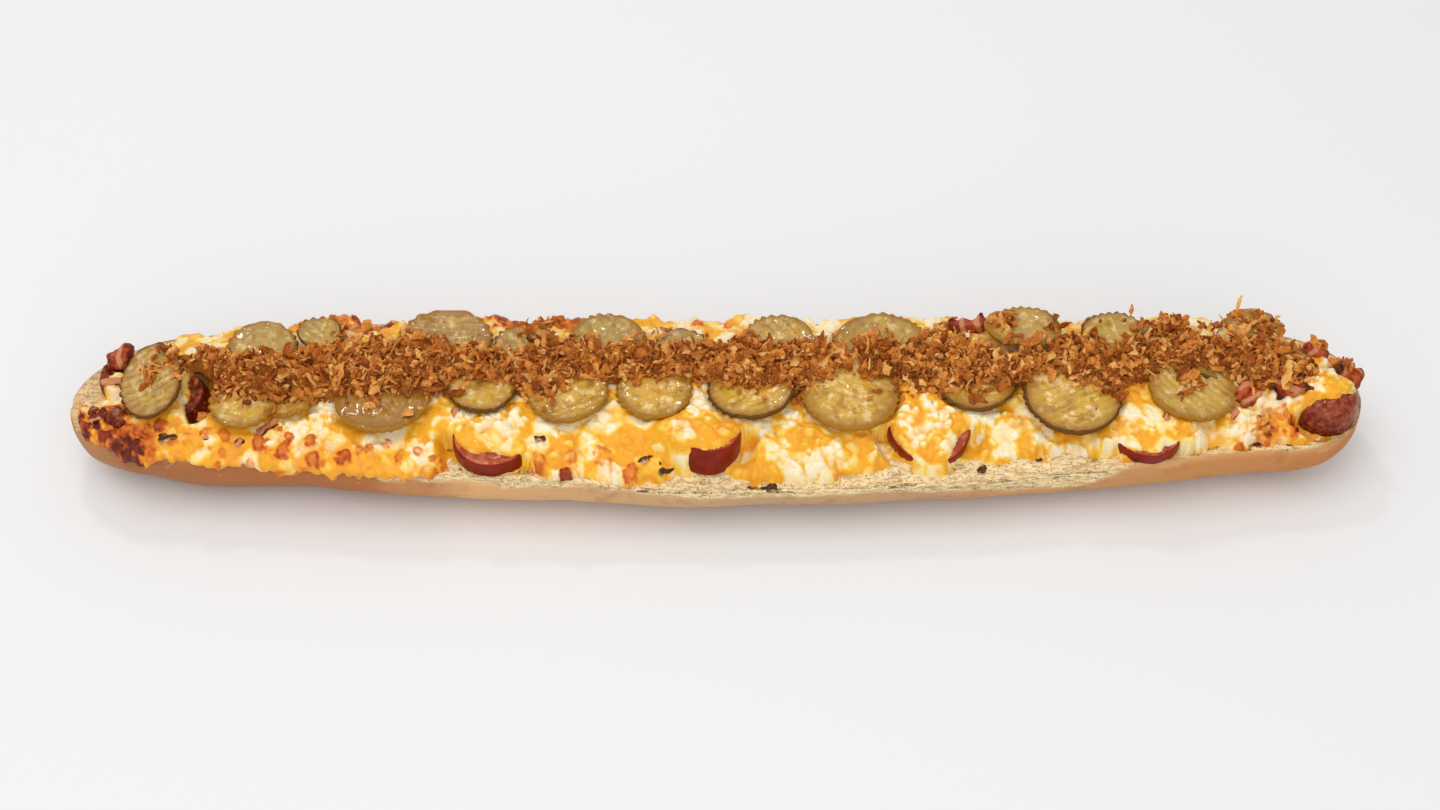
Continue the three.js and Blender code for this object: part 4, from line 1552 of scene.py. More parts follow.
    def bed(self, s: Array, w: Array) -> Bed:
        """The surface of the bread at signed distances w from the centre line, walked along it.

        Args:
            s: a column of places along the loaf.
            w: distances for each of them, positive towards the back.

        Returns:
            The bed there.
        """
        lean = math.radians(FORM.lean)
        angle = np.linspace(-lean, math.radians(self.lowest), 60)[None, :]
        front = FORM.under_points(s, angle)
        back = FORM.under_points(s, math.pi - angle)
        points = np.empty(w.shape + (3,))
        half = np.maximum(0.5, FORM.half(s))
        for side, curve in ((-1.0, front), (1.0, back)):
            edge = FORM.top_points(s, np.full((1, 1), side))
            path = np.concatenate([edge, curve], axis=1)
            step = np.linalg.norm(np.diff(path[..., 1:], axis=1), axis=-1)
            walked = np.concatenate([np.zeros((len(s), 1)), np.cumsum(step, axis=1)], axis=1)
            over = side * w - half
            on_curve = (side * w >= 0) & (over > 0)
            for k, axis in itertools.product(range(len(s)), (1, 2)):
                spread = np.interp(over[k], walked[k], path[k, :, axis])
                points[k, :, axis] = np.where(on_curve[k], spread, points[k, :, axis])
        on_top = np.abs(w / half) <= 1.0
        flat = FORM.top_points(s, np.clip(w / half, -1.0, 1.0))
        points[..., 0] = FORM.x_of(s)
        points[on_top] = flat[on_top]
        tilt = math.radians(self.steepest) * ease(np.abs(w) - half, -3.5, 4.0)
        growth = at(0.0, np.sign(w) * np.sin(tilt), np.cos(tilt))
        t = np.clip(w / np.maximum(8.0, FORM.half(s)), -1.6, 1.6)
        return Bed(s, t, points[..., 0], FORM.centre_line(s) + w, points, growth)

    def build(self) -> Object:
        """Makes the cheese.

        Returns:
            The piece.
        """
        s = np.linspace(self.front_start - 0.004, self.stop + 0.008, self.count)[:, None]
        front, back = self.reaches(s)
        share = runs(1.0, (0.0, 24), (0.22, 18), (0.5, 70))
        wide_back = back + self.margin
        wide_front = np.maximum(front + self.margin, self.clearance(s))
        w = wide_back - (wide_back + wide_front) * share
        bed = self.bed(s, w)
        spot = at(bed.x, w)
        ragged = noise(spot, 5.0, 55, 2) * 1.6 + noise(spot, 1.9, 56) * 0.7
        inside = np.minimum(front + w, back - w) + ragged
        thick = self.thickness(s, bed.t, bed.x, bed.y)
        thick = np.minimum(thick, self.brink + self.rising * np.maximum(0.0, inside))
        thick, draped = self.drape(bed, thick)
        inside = np.maximum(inside, 9.0 * draped - 1.0)
        spot[..., 2] = 1.2 * self.strip_sausages(bed, self.press(bed, thick), spot)
        warp = noise(spot, 3.6, 51, 2) * 0.34 + noise(spot, 1.6, 52) * 0.16
        white, crease, relief = self.curdle(bed, spot, warp)
        toast, bubbles = self.toast(bed, spot, warp)
        calm = 1.0 - 0.75 * self.under_gherkins(bed.out(thick))
        thin = ease(inside, 0.0, 5.0)
        thick = thick + (relief * (0.45 + 0.55 * thin) + bubbles) * calm
        thick = self.strip_sausages(bed, self.press(bed, thick), spot)
        held = ease(inside, -0.3, 1.8)
        thick = thick * held - self.sunk * (1.0 - held)
        toast = np.clip(toast * (1.0 - 0.5 * draped), 0.0, 1.2)
        parts = Parts()
        parts.skin(bed.out(thick), white=np.clip(white, 0.0, 1.0), crease=crease, toast=toast)
        return parts.finished("cheese_melt", CheeseFinish().material(), ["melted_cheese"])

    def drape(self, bed: Bed, thick: Array) -> tuple[Array, Array]:
        """Lifts the cheese over the sausage slices.

        Args:
            bed: what it lies on.
            thick: its thickness.

        Returns:
            The new thickness, and where it lies on a slice, from 0 to 1.
        """
        cover = np.zeros(thick.shape)
        for number, lip, radius, away, above, inset in self.crossings(bed):
            crown = self.crown * (1.0 - np.clip(away / radius, 0.0, 1.0) ** 2)
            crown = crown + self.sausages.crown(number, away / radius)
            over = above + lip.film + crown
            reach = radius + np.clip(-inset, 0.0, 3.0)
            on = 1.0 - ease(away, reach - 1.4, reach + lip.skirt + 7.0 * ease(-inset, 3.0, 8.0))
            thick = thick + (np.maximum(thick, over) - thick) * on
            held = np.maximum(1.0 - ease(away, radius - 0.6, radius + 0.6), ease(-inset, 0.0, 1.0))
            cover = np.maximum(cover, on * held)
        return thick, cover

    def crossings(self, bed: Bed) -> Iterator[tuple[int, Lip, float, Array, Array, Array]]:
        """Goes through the sausage slices, and where lines out of the bread meet their tops.

        Args:
            bed: where the lines start, and the way they go.

        Yields:
            A slice's number, its lip and its radius, and for each line how far from the slice's
            middle it meets it, how far out of the bread that is, and the lip's inset there.
        """
        for number, (plate, lip) in enumerate(zip(self.sausages.plates, self.lips)):
            slope = np.maximum(bed.growth @ plate.facing, 0.3)
            above = ((plate.middle - bed.points - SHIFT) @ plate.facing) / slope
            p, q, _ = plate.local(bed.out(above))
            radius = plate.radii[0] + self.sausages.easing
            yield number, lip, radius, np.hypot(p, q), above, lip.inset(p, q)

    def curdle(self, bed: Bed, spot: Array, warp: Array) -> tuple[Array, Array, Array]:
        """Works out where the cheese is white, where painted shade darkens its creases, and how its curds
        stand up.

        Args:
            bed: what it lies on.
            spot: places on its smooth surface.
            warp: what makes the rims of patches ragged.

        Returns:
            The white share, the strength of the painted shade in the creases, and the height of the relief.
        """
        lump, dome = blobs(spot, self.lump_size, 61, 12.0)
        curd, bead = blobs(spot, self.curd_size, 66, 12.0)
        back = ease(spot[..., 1], 14.0, 26.0)
        dense = 0.32 + 0.12 * noise(spot, 12.0, 62) + back * (0.22 + 0.2 * noise(spot, 9.0, 64, 2))
        orange, pale, tall = (np.zeros(bed.x.shape) for _ in range(3))
        for patch in self.cheddar:
            orange = np.maximum(orange, ease(patch.nearness(bed.x, bed.y, warp), -0.2, 0.5))
        for curd_spot in self.curds:
            near = curd_spot.nearness(bed.x, bed.y, warp)
            pale = np.maximum(pale, ease(near, -0.1, 0.5))
            tall = np.maximum(tall, 1.1 * curd_spot.strength * np.sqrt(np.clip(near * 1.3, 0.0, 1.0)))
        dense = dense - 0.3 * orange * (1.0 - pale)
        swirl = 0.16 * noise(spot, 3.0, 67, 2)
        big = 1.5 * (lump - 0.5) + 0.3 * (dome - 0.45) + dense - 0.5 + swirl
        small = 1.3 * (curd - 0.5) + 0.35 * (bead - 0.45) + dense - 0.58 + swirl
        white = np.maximum(ease(big, -0.2, 0.2), 0.8 * ease(small, -0.2, 0.2))
        white = white * (0.8 + 0.3 * (curd - 0.5) + 0.25 * (dome - 0.3))
        chosen = ease(pale + 0.8 * (bead - 0.6) + 0.5 * (curd - 0.5) + swirl, 0.15, 0.75)
        white = np.maximum(white, chosen * (0.92 + 0.25 * (dome - 0.3)))
        melted = ease(noise(spot, 10.0, 65, 2) + 0.5 * orange, 0.0, 0.5)
        # Painted shade in the seams between curds and lumps, less where the cheese is melted smooth, pale or
        # steep.
        crease = 0.55 * (1.0 - ease(bead, 0.0, 0.75)) + 0.6 * (1.0 - ease(dome, 0.0, 0.6))
        steep = ease(np.abs(np.gradient(spot[..., 2], axis=1)), 0.5, 1.4)
        crease = crease * (1.0 - 0.7 * melted) * (1.0 - 0.35 * pale) * (1.0 - steep)
        relief = self.lump_height * dome * (0.3 + 0.7 * white) + self.curd_height * bead
        relief = relief * (1.0 - 0.4 * back) * (1.0 - 0.5 * melted)
        relief = np.maximum(relief, tall * (0.5 + 0.4 * dome + 0.5 * bead)) * (1.0 - 0.6 * steep)
        return white, crease, relief + self.sag * noise(spot, 7.0, 63, 2)

    def toast(self, bed: Bed, spot: Array, warp: Array) -> tuple[Array, Array]:
        """Works out where the cheese is toasted, and its blisters.

        Args:
            bed: what it lies on.
            spot: places on its smooth surface.
            warp: what makes the rims of patches ragged.

        Returns:
            How toasted it is, and the height of the blisters.
        """
        s, t = bed.s, bed.t
        pick, dome = blobs(spot, self.blister_size, 71)
        bead = ease(dome, 0.3, 0.85) * ease(pick, 0.56, 0.7)
        rim = ease(-t, 0.62, 0.86) * (1.0 - ease(s, -0.4, -0.26))
        left = ease(-s, 0.8, 0.88) * ease(-t, 0.12, 0.5)
        rim = np.clip(rim + left + 0.7 * ease(s, 0.66, 0.8) * ease(-t, 0.5, 0.8), 0.0, 1.0)
        crest = ease(t, 0.6, 0.85) * (between(s, -0.75, -0.22, 0.06) + 0.12 * between(s, -0.2, 0.1, 0.1))
        end = ease(s, 0.78, 0.9)
        where = np.clip(rim + 0.8 * crest + 0.6 * end, 0.0, 1.0)
        haze = ease(noise(spot, 6.0, 72, 3), -0.35, 0.7)
        fine = ease(noise(spot, 2.6, 73, 2), -0.4, 0.6)
        bead_ring = np.exp(-(((dome - 0.5) / 0.26) ** 2))
        toast = bead * where * (0.3 + 0.16 * bead_ring) + 0.22 * where * haze
        toast = toast + 0.48 * crest * haze + 0.04 * end
        toast = toast + left * (0.1 + 0.3 * fine)
        bubbles = self.blister_height * bead * where
        broken = noise(spot, 1.7, 74, 2)
        for patch in self.toasted:
            near = patch.nearness(bed.x, bed.y, warp)
            ring = np.exp(-(((near - 0.3) / 0.26) ** 2))
            hollow = 0.42 if patch.strength < 0.85 else 0.16
            on = ease(near + 0.5 * broken, -0.15, 0.5) * (1.0 - hollow * (1.0 - ring))
            toast = np.maximum(toast, patch.strength * on)
            toast = np.maximum(toast, 0.24 * patch.strength * ease(near, -0.8, 0.1))
            raised = self.spot_height * min(1.1, patch.strength)
            bubbles = np.maximum(bubbles, raised * ease(near, -0.1, 0.55))
        return toast, bubbles

    def under_gherkins(self, top: Array) -> Array:
        """Is 1 where the cheese's top is under a gherkin slice and 0 clear of it."""
        shares = np.min([plate.share(top) for plate in self.gherkins.plates], axis=0)
        return 1.0 - ease(shares, 0.85, 1.15)

    def press(self, bed: Bed, thick: Array) -> Array:
        """Keeps the cheese under the gherkin slices that lie on it.

        Args:
            bed: what it lies on.
            thick: its thickness.

        Returns:
            The new thickness.
        """
        depth = self.gherkins.thickness + self.over_gherkins
        for plate in self.gherkins.plates:
            top = bed.out(thick)
            _, _, over = plate.local(top)
            on = 1.0 - ease(plate.share(top), 0.96, 1.12)
            excess = np.maximum(0.0, over + depth) / np.maximum(0.35, bed.growth[..., 2])
            thick = thick - on * np.where(over < 4.0, excess, 0.0)
        return thick

    def strip_sausages(self, bed: Bed, thick: Array, spot: Array) -> Array:
        """Leaves each sausage slice bare beyond its lip, and little cheese before it.

        Args:
            bed: what the cheese lies on.
            thick: its thickness.
            spot: places for the raggedness.

        Returns:
            The new thickness.
        """
        ragged = noise(spot, 4.0, 81, 2) * 0.7
        for _, lip, radius, away, above, inset in self.crossings(bed):
            brink = radius - inset + ragged
            edge = np.sqrt(np.clip((brink - away) / self.rounding, 0.0, 1.0))
            rounded = np.minimum(thick, above + 0.2 + (lip.film + 1.6) * edge)
            at_edge = (inset > -1.0) & (away < brink) & (away > brink - self.rounding)
            thick = np.where(at_edge, rounded, thick)
            bare = ease(away, brink - 0.1, brink + 0.5) * (1.0 - ease(away, radius + 3.0, radius + 8.0))
            bare = bare * ease(inset, -1.5, 0.0)
            low = np.minimum(above - 1.6, lip.before + 0.8 * ragged)
            thick = thick + (np.minimum(thick, low) - thick) * bare
        return thick


# ---- Bits baked into the cheese ----


@dataclass(frozen=True)
class Morsel:
    """A bit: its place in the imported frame, its length and width in millimetres, how it is turned, in
    degrees, and how much it is bent.
    """

    x: float
    y: float
    length: float
    width: float
    turn: float = 0.0
    bend: float = 0.12


@dataclass(frozen=True)
class MushroomFinish:
    """Baked mushroom: nearly black gills, brown edges and grey-white flesh."""

    gills: Colour = srgb(78, 36, 18)
    brown: Colour = srgb(150, 104, 62)
    flesh: Colour = srgb(214, 182, 136)

    def material(self) -> Material:
        """Reads the attribute pale, which the mesh carries.

        Returns:
            The material.
        """
        s = Shader("baked_mushroom")
        pale = s.attribute("pale") + s.wobble(1.4, 1.1, 4, 0.6)
        base = s.layered(
            self.gills, (pale.eased(0.3, 0.6), self.brown), (pale.eased(0.62, 0.9), self.flesh)
        )
        relief = s.noise(0.9, 3) * 0.8
        return s.principled(
            base, 0.34 + s.noise(2) * 0.2, Normal=s.bump(relief, 0.5), Coat_Weight=0.15,
            Coat_Roughness=0.1, Specular_IOR_Level=0.1,
        )


@dataclass
class Morsels:
    """Mushroom slices and slivers of ham, half sunk in the cheese."""

    mushrooms: tuple[Morsel, ...] = each(
        Morsel, (-206, -21.5, 8, 5, 10), (-27, -31, 6, 4, 20), (-20, -34, 7, 4, -28, 0.8),
        (20, -38.4, 7, 4.4, 15), (99, -30.5, 5, 3.4, 25), (-66, -25, 5.4, 3.4, 5),
        (121, -25.5, 4, 2.6, 0), (204, -20.5, 6, 3.4, 10), (38, 12.5, 5, 3.4, 0),
    )
    ham: tuple[Morsel, ...] = each(
        Morsel, (-170, -18.5, 13, 5, 30, 0.1), (-178, -22.5, 5, 3.6, 80), (168, -16, 5, 3.4, 60),
        (194, -11, 7, 5, 40), (-225, 3.5, 13, 5, 24, 0.15), (-228, 12, 6, 4, 60), (-233, -14, 4.4, 3, 30),
        (-191, -22, 3, 2, 0), (-98, -13, 5, 3, 80), (-196, -14, 9, 3.4, 70),
    )
    sides: int = 32
    rows: int = 13
    thick: float = 0.9

    def build(self, under: list[Object]) -> list[Object]:
        """Makes both kinds and sets them on the pieces under them.

        Args:
            under: the pieces that they lie on.

        Returns:
            The mushroom piece and the ham piece.
        """
        ground = grounds(under)
        pieces = []
        for name, bits, finish in (
            ("mushroom_slices", self.mushrooms, MushroomFinish()), ("ham_slivers", self.ham, BaconFinish()),
        ):
            parts = Parts()
            for number, bit in enumerate(bits):
                self.shape(parts, bit, ground, number)
            pieces.append(parts.finished(name, finish.material(), ["melted_cheese"]))
        return pieces

    def shape(self, parts: Parts, bit: Morsel, ground: list[BVHTree], number: int) -> None:
        """Adds one bit: a bent, crinkled pad that lies on whatever is highest at its place.

        Args:
            parts: what it is added to.
            bit: the bit.
            ground: search trees of what it lies on.
            number: its number, which makes it unlike the others.
        """
        start = Vector((bit.x, bit.y, 120.0)) * MM
        hit, normal = highest(ground, start)
        up = np.array(normal) + np.array([0.0, 0.0, 0.6])
        up /= np.linalg.norm(up)
        turn = math.radians(bit.turn)
        across = np.cross(up, [math.cos(turn), math.sin(turn), 0.0])
        across /= np.linalg.norm(across)
        along = np.cross(across, up)
        angle = round_about(self.sides)
        lift = np.linspace(0.06, math.pi - 0.06, self.rows)[:, None]
        out = np.sin(lift) ** 0.5
        p = out * np.cos(angle) * bit.length / 2.0
        q = out * np.sin(angle) * bit.width / 2.0 + bit.bend * (2.0 * p / bit.length) ** 2 * bit.width
        h = np.cos(lift) * self.thick + 0.0 * p
        place = at(p + 40.0 * number, q, h)
        crinkle = 1.0 + 0.5 * noise(place, 2.0, 101, 2)
        h = h + 0.5 * noise(place, 1.6, 102, 2)
        middle = np.array(hit) / MM
        middle = middle - 0.35 * up
        points = middle + (p * crinkle)[..., None] * along + (q * crinkle)[..., None] * across
        edge = ease(np.abs(np.sin(angle)) * out, 0.45, 0.9) + 0.0 * p
        parts.skin(
            points + h[..., None] * up, pale=0.3 + 0.5 * edge, fat=1.0 - 0.9 * edge, worn=0.15 + 0.7 * edge,
        )


# ---- Fried onion ----


@dataclass(frozen=True)
class OnionFinish:
    """Crisp fried onion: golden flakes, browner where they are thick, and darker down in the heap, where the
    core's finish is dimmed as painted shade.
    """

    name: str
    dark: Colour = srgb(116, 50, 10)
    brown: Colour = srgb(182, 100, 38)
    golden: Colour = srgb(224, 142, 60)
    pale: Colour = srgb(248, 190, 108)
    dim: float = 1.0

    def material(self) -> Material:
        """Reads the attribute tone, which the mesh carries.

        Returns:
            The material.
        """
        s = Shader(self.name)
        tone = s.attribute("tone") * 0.9 + 0.1 + s.wobble(1.3, 0.8, 4, 0.65)
        stops = ((0.0, self.dark), (0.3, self.brown), (0.72, self.golden), (1.0, self.pale))
        # A level below 1 dims the whole finish: painted shade for the heap's core, seen in the gaps between
        # strewn pieces.
        base = s.shade(s.ramp(stops, tone), s.noise(0.7, 3).eased(0.3, 0.7, 0.78 * self.dim, 1.1 * self.dim))
        relief = s.noise(0.9, 4, 0.7) * 0.9 + s.noise(0.35, 2) * 0.3
        return s.principled(
            base, 0.6 + s.noise(1.5) * 0.2, Normal=s.bump(relief, 0.4), Subsurface_Weight=0.15,
            Subsurface_Radius=(0.003, 0.0012, 0.0005), Subsurface_Scale=0.5, Specular_IOR_Level=0.12,
        )


@dataclass(frozen=True)
class Strewing:
    """Geometry Nodes that strew pieces over a ground, after its cover attribute."""

    name: str
    density: float
    smallest: float
    largest: float
    sink: float
    rise: float
    tilt: float
    seed: int

    def tree(self) -> NodeTree:
        """Builds the node tree, with its sizes as named inputs.

        Returns:
            The tree.
        """
        writer = Writer(bpy.data.node_groups.new(self.name, "GeometryNodeTree"))
        sockets, out = writer.tree.interface, writer.out
        for kind, names in (
            ("Geometry", ("Geometry",)), ("Collection", ("Kinds",)), ("Material", ("Finish",)),
            ("Float", ("Density", "Smallest", "Largest", "Sink", "Rise", "Tilt")), ("Int", ("Seed",)),
        ):
            for name in names:
                sockets.new_socket(name, in_out="INPUT", socket_type="NodeSocket" + kind)
        sockets.new_socket("Geometry", in_out="OUTPUT", socket_type="NodeSocketGeometry")
        source = writer.node("NodeGroupInput")
        given = {socket.name: Value(writer, socket) for socket in source.outputs if socket.name}

        def random(low: Value | float, high: Value | float, shift: int, kind: str = "FLOAT") -> Value:
            """A random number or vector for each point."""
            first, second, output = {"FLOAT": (2, 3, 1), "FLOAT_VECTOR": (0, 1, 0)}[kind]
            limits = {first: low, second: high, "Seed": given["Seed"] + shift}
            return out("FunctionNodeRandomValue", {"data_type": kind}, limits, output)

        cover = out("GeometryNodeInputNamedAttribute", {"data_type": "FLOAT"}, {"Name": "cover"})
        points = writer.node("GeometryNodeDistributePointsOnFaces", {"distribute_method": "RANDOM"}, {
            "Mesh": given["Geometry"], "Density": cover * given["Density"], "Seed": given["Seed"],
        })
        kinds = out("GeometryNodeCollectionInfo", None, {
            "Collection": given["Kinds"], "Separate Children": True, "Reset Children": True,
        })
        spin = out("ShaderNodeCombineXYZ", None, {0: given["Tilt"], 1: given["Tilt"], 2: math.pi})
        back = out("ShaderNodeVectorMath", {"operation": "SCALE"}, {0: spin, "Scale": -1.0})
        rotation = out("FunctionNodeRotateRotation", {"rotation_space": "LOCAL"}, {
            "Rotation": Value(writer, points.outputs["Rotation"]),
            "Rotate By": random(back, spin, 1, "FLOAT_VECTOR"),
        })
        pieces = out("GeometryNodeInstanceOnPoints", None, {
            "Points": Value(writer, points.outputs["Points"]), "Instance": kinds, "Pick Instance": True,
            "Instance Index": random(0.0, 64.0, 3), "Rotation": rotation,
            "Scale": random(given["Smallest"], given["Largest"], 2),
        })
        height = random(given["Sink"] * -1.0, given["Rise"], 4)
        moved = out("GeometryNodeTranslateInstances", None, {
            "Instances": pieces, "Translation": out("ShaderNodeCombineXYZ", None, {2: height}),
            "Local Space": False,
        })
        toned = out("GeometryNodeStoreNamedAttribute", {"data_type": "FLOAT", "domain": "INSTANCE"}, {
            "Geometry": moved, "Name": "tone", "Value": random(0.0, 1.0, 5),
        })
        real = out("GeometryNodeRealizeInstances", None, {"Geometry": toned})
        dressed = out("GeometryNodeSetMaterial", None, {"Geometry": real, "Material": given["Finish"]})
        writer.node("NodeGroupOutput", None, {0: dressed})
        return writer.tree

    def strew(self, ground: Object, kinds: Collection, finish: Material) -> Object:
        """Strews the kinds over the ground and gives the result as one plain mesh.

        Args:
            ground: a blanket with the attribute cover.
            kinds: the pieces to pick from.
            finish: their material.

        Returns:
            The strewn pieces.
        """
        tree = self.tree()
        modifier = ground.modifiers.new(self.name, "NODES")
        modifier.node_group = tree
        given = {
            "Kinds": kinds, "Density": self.density / MM**2, "Smallest": self.smallest,
            "Largest": self.largest, "Sink": self.sink * MM, "Rise": self.rise * MM,
            "Tilt": self.tilt, "Seed": self.seed, "Finish": finish,
        }
        for socket in tree.interface.items_tree:
            if socket.in_out == "INPUT" and socket.name in given:
                modifier[socket.identifier] = given[socket.name]
        mesh = evaluated(ground)
        ground.modifiers.remove(modifier)
        mesh.name = self.name
        return linked(self.name, mesh)


@dataclass
class Onion:
    """The ridge of fried onion: a lumpy core under strewn crumbs, flakes and strands."""

    cheese: Cheese
    start: float = -0.84
    stop: float = 0.925
    half_width: float = 12.8
    tall: float = 9.0
    lower: float = 2.2
    lift: float = 1.7
    core_share: float = 0.96
    clump_height: float = 3.6
    lump_height: float = 2.4
    crag_height: float = 1.3
    count: int = 640
    node: str = "fried_onion_heap"
    seed: int = 23

    # The blanket for strewing: its ends along and across the loaf, its mesh, the lowest place and the
    # greatest step in height that onion lies on, and how much lies loose round the ridge.
    along: tuple[float, float] = (-238.0, 246.0)
    across: tuple[float, float] = (-30.0, 46.0)
    step: float = 1.3
    lowest: float = 20.0
    steepest: float = 5.0
    loose: float = 0.035

    # Onion fallen outside the ridge: place, radius and how thick it lies, in the form's own frame.
    strays: tuple[Spot, ...] = each(
        Spot, (-205, 4, 8, 0.8), (-213, -5, 6, 0.6), (-189, -11, 6, 0.9), (-131, -13, 6, 0.9),
        (-138, -4, 8, 0.7), (-66, -7, 7, 0.6), (-38, 10, 10, 0.9), (-72, 24, 6, 0.5), (-69, 34, 6, 0.9),
        (-20, 25, 6, 0.35), (43, -2, 3, 0.9), (58, -9, 4, 0.7), (98, -4, 8, 0.7), (110, 26, 8, 0.55),
        (130, 24, 5, 0.9), (167, 27, 8, 0.8), (177, 29, 8, 0.9), (146, -6, 6, 0.8), (178, -3, 9, 0.8),
        (200, 30, 10, 0.9), (211, 22, 9, 0.8), (222, 12, 8, 0.5), (234, 20, 7, 0.8), (214, -3, 6, 0.6),
        (206, -16, 5, 0.5), (240, 6, 5, 0.9), (-142, 26, 8, 0.5), (88, 24, 8, 0.8),
    )

    # The heap's outline: place along the loaf, its front and its back, in the form's own frame.
    outline: tuple[tuple[float, float, float], ...] = (
        (-207, 2, 9), (-197, 3, 16), (-190, -4, 14), (-184, -13, 12), (-164, -14, 11), (-153, -11, 13),
        (-141, -10, 15), (-120, -11, 19), (-110, -9, 18), (-101, -6, 18), (-91, -1, 14), (-82, -4, 12),
        (-68, -11, 15), (-57, -8, 18), (-45, -2, 15), (-30, -3, 14), (-10, -1, 16), (9, -7, 17),
        (28, -9, 16), (38, -3, 17), (51, 1, 17), (65, -2, 19), (72, -9, 13), (82, -11, 20), (95, -7, 17),
        (109, -5, 12), (124, -1, 14), (136, -2, 21), (151, -10, 15), (165, 1, 17), (178, 2, 18),
        (190, 1, 20), (199, -5, 21), (211, -8, 20), (222, -7, 16), (228, -6, 13),
    )

    def band(self, s: Array) -> tuple[Array, Array]:
        """The heap's middle line, and half its width before its ends round off."""
        x, front, back = np.array(self.outline).T
        place = FORM.x_of(s)
        return np.interp(place, x, (front + back) / 2.0), np.interp(place, x, (back - front) / 2.0)

    def reach(self, s: Array) -> Array:
        """Half its width."""
        return (self.band(s)[1] + uneven(61 * s, 1.2, 9)) * spanned(s, self.start, self.stop, 12)

    def core(self) -> Object:
        """The dark heap beneath the strewn pieces, darkened with painted shade where it shows between them.

        Returns:
            The heap, not placed yet.
        """
        s = np.linspace(self.start, self.stop, self.count)[:, None]
        u = np.cos(np.linspace(0.0, math.pi, 48))[None, :]
        reach = np.maximum(0.4, self.reach(s))
        x = FORM.x_of(s) + 0.0 * u
        y = self.band(s)[0] + u * reach * self.core_share
        ground = self.cheese.height(x, y)
        spot = at(x, y)
        share, clump = blobs(spot, 7.5, 91, 9.0)
        grain, crag = blobs(spot, 2.7, 92, 12.0)
        lumps = self.clump_height * (clump - 0.45) + self.lump_height * (share - 0.5)
        lumps = lumps + self.crag_height * (crag - 0.4) + noise(spot, 1.5, 94) * 0.4
        peak = self.tall + uneven(43 * s, 2, 7) - self.lower + self.lift
        peak = peak * (reach / self.half_width) ** 0.5
        top = np.maximum(-0.6, (peak + lumps) * (1.0 - u**4))
        upper = at(x, y, ground + top)
        lower = at(x, y, ground - 1.5)[:, -2:0:-4]
        # Tone varies at random from grain to grain, and is higher on the crags' tops than in the seams
        # between them: painted shade.
        tone = 0.3 + 0.5 * (grain - 0.5) + 0.25 * crag
        tone = np.concatenate([tone, np.full(lower.shape[:2], 0.2)], axis=1)
        parts = Parts()
        rings = np.concatenate([upper, lower], axis=1) + SHIFT
        parts.skin(rings, tone=tone)
        return parts.build("onion_core")

    def ground(self, under: list[Object]) -> Object:
        """A blanket over the ridge and what lies round it, with the share of onion on it as cover.

        Args:
            under: the pieces that the blanket lies on.

        Returns:
            The blanket, for strewing on only.
        """
        trees = grounds(under)
        xs, ys = np.arange(*self.along, self.step), np.arange(*self.across, self.step)
        x, y = (a.ravel() for a in np.meshgrid(xs, ys, indexing="ij"))
        z = np.full(x.shape, -1.0)
        for k, (px, py) in enumerate(zip(x, y)):
            found = highest(trees, Vector((px * MM, (py + SHIFT[1]) * MM, 0.2)))
            if found is not None:
                z[k] = found[0].z / MM
        s = FORM.s_of(x)
        spot = at(x, y)
        u = np.abs(y - self.band(s)[0]) / np.maximum(1.0, self.reach(s))
        u = u + noise(spot, 5.0, 95, 2) * 0.22
        cover = 1.0 - ease(u, 0.86, 1.1)
        cover = np.where((s < self.start) | (s > self.stop), 0.0, cover)
        warp = noise(spot, 4.0, 96, 2) * 0.5
        for patch in self.strays:
            near = patch.nearness(x, y, warp)
            cover = np.maximum(cover, patch.strength * ease(near, 0.0, 0.55))
        loose = self.loose * (1.0 - ease(u, 1.1, 2.0)) * between(s, -0.85, 0.93, 0.02)
        cover = np.maximum(cover, loose)
        rows, columns = len(xs), len(ys)
        index = np.arange(rows * columns).reshape(rows, columns)
        quads = [index[:-1, :-1], index[1:, :-1], index[1:, 1:], index[:-1, 1:]]
        quads = np.stack(quads, -1).reshape(-1, 4)
        heights = z[quads]
        flat = (heights.min(1) > self.lowest) & (np.ptp(heights, axis=1) < self.steepest)
        flat = flat & (cover[quads].max(1) > 0.0)
        parts = Parts()
        parts.add(at(x, y, z) + SHIFT, quads[flat].tolist(), cover=cover)
        return parts.build("onion_ground")

    def kinds(self, name: str, shapes: list[Parts]) -> Collection:
        """A collection of small pieces to strew.

        Args:
            name: its name.
            shapes: the pieces' shapes.

        Returns:
            The collection, which isn't in the scene.
        """
        kinds = bpy.data.collections.new(name)
        for number, shape in enumerate(shapes):
            piece = shape.build(f"{name}_{number}", smooth=False)
            bpy.context.scene.collection.objects.unlink(piece)
            kinds.objects.link(piece)
        return kinds

    def crumb(self, dice: np.random.Generator, fineness: int) -> Parts:
        """A craggy crumb about 3 mm across.

        Args:
            dice: the source of its shape.
            fineness: 1 for 20 faces, 2 for 80.

        Returns:
            The crumb round its middle.
        """
        ball = bmesh.new()
        bmesh.ops.create_icosphere(ball, subdivisions=fineness, radius=1.0)
        points = np.array([v.co for v in ball.verts])
        faces = [[v.index for v in f.verts] for f in ball.faces]
        ball.free()
        seed = int(dice.integers(1000))
        rough = 1.0 + 0.5 * noise(points, 1.1, seed, 2) + 0.25 * noise(points, 0.5, seed + 1)
        size = dice.uniform([1.3, 0.9, 0.7], [2.2, 1.5, 1.2])
        parts = Parts()
        parts.add(points * rough[:, None] * size, faces)
        return parts

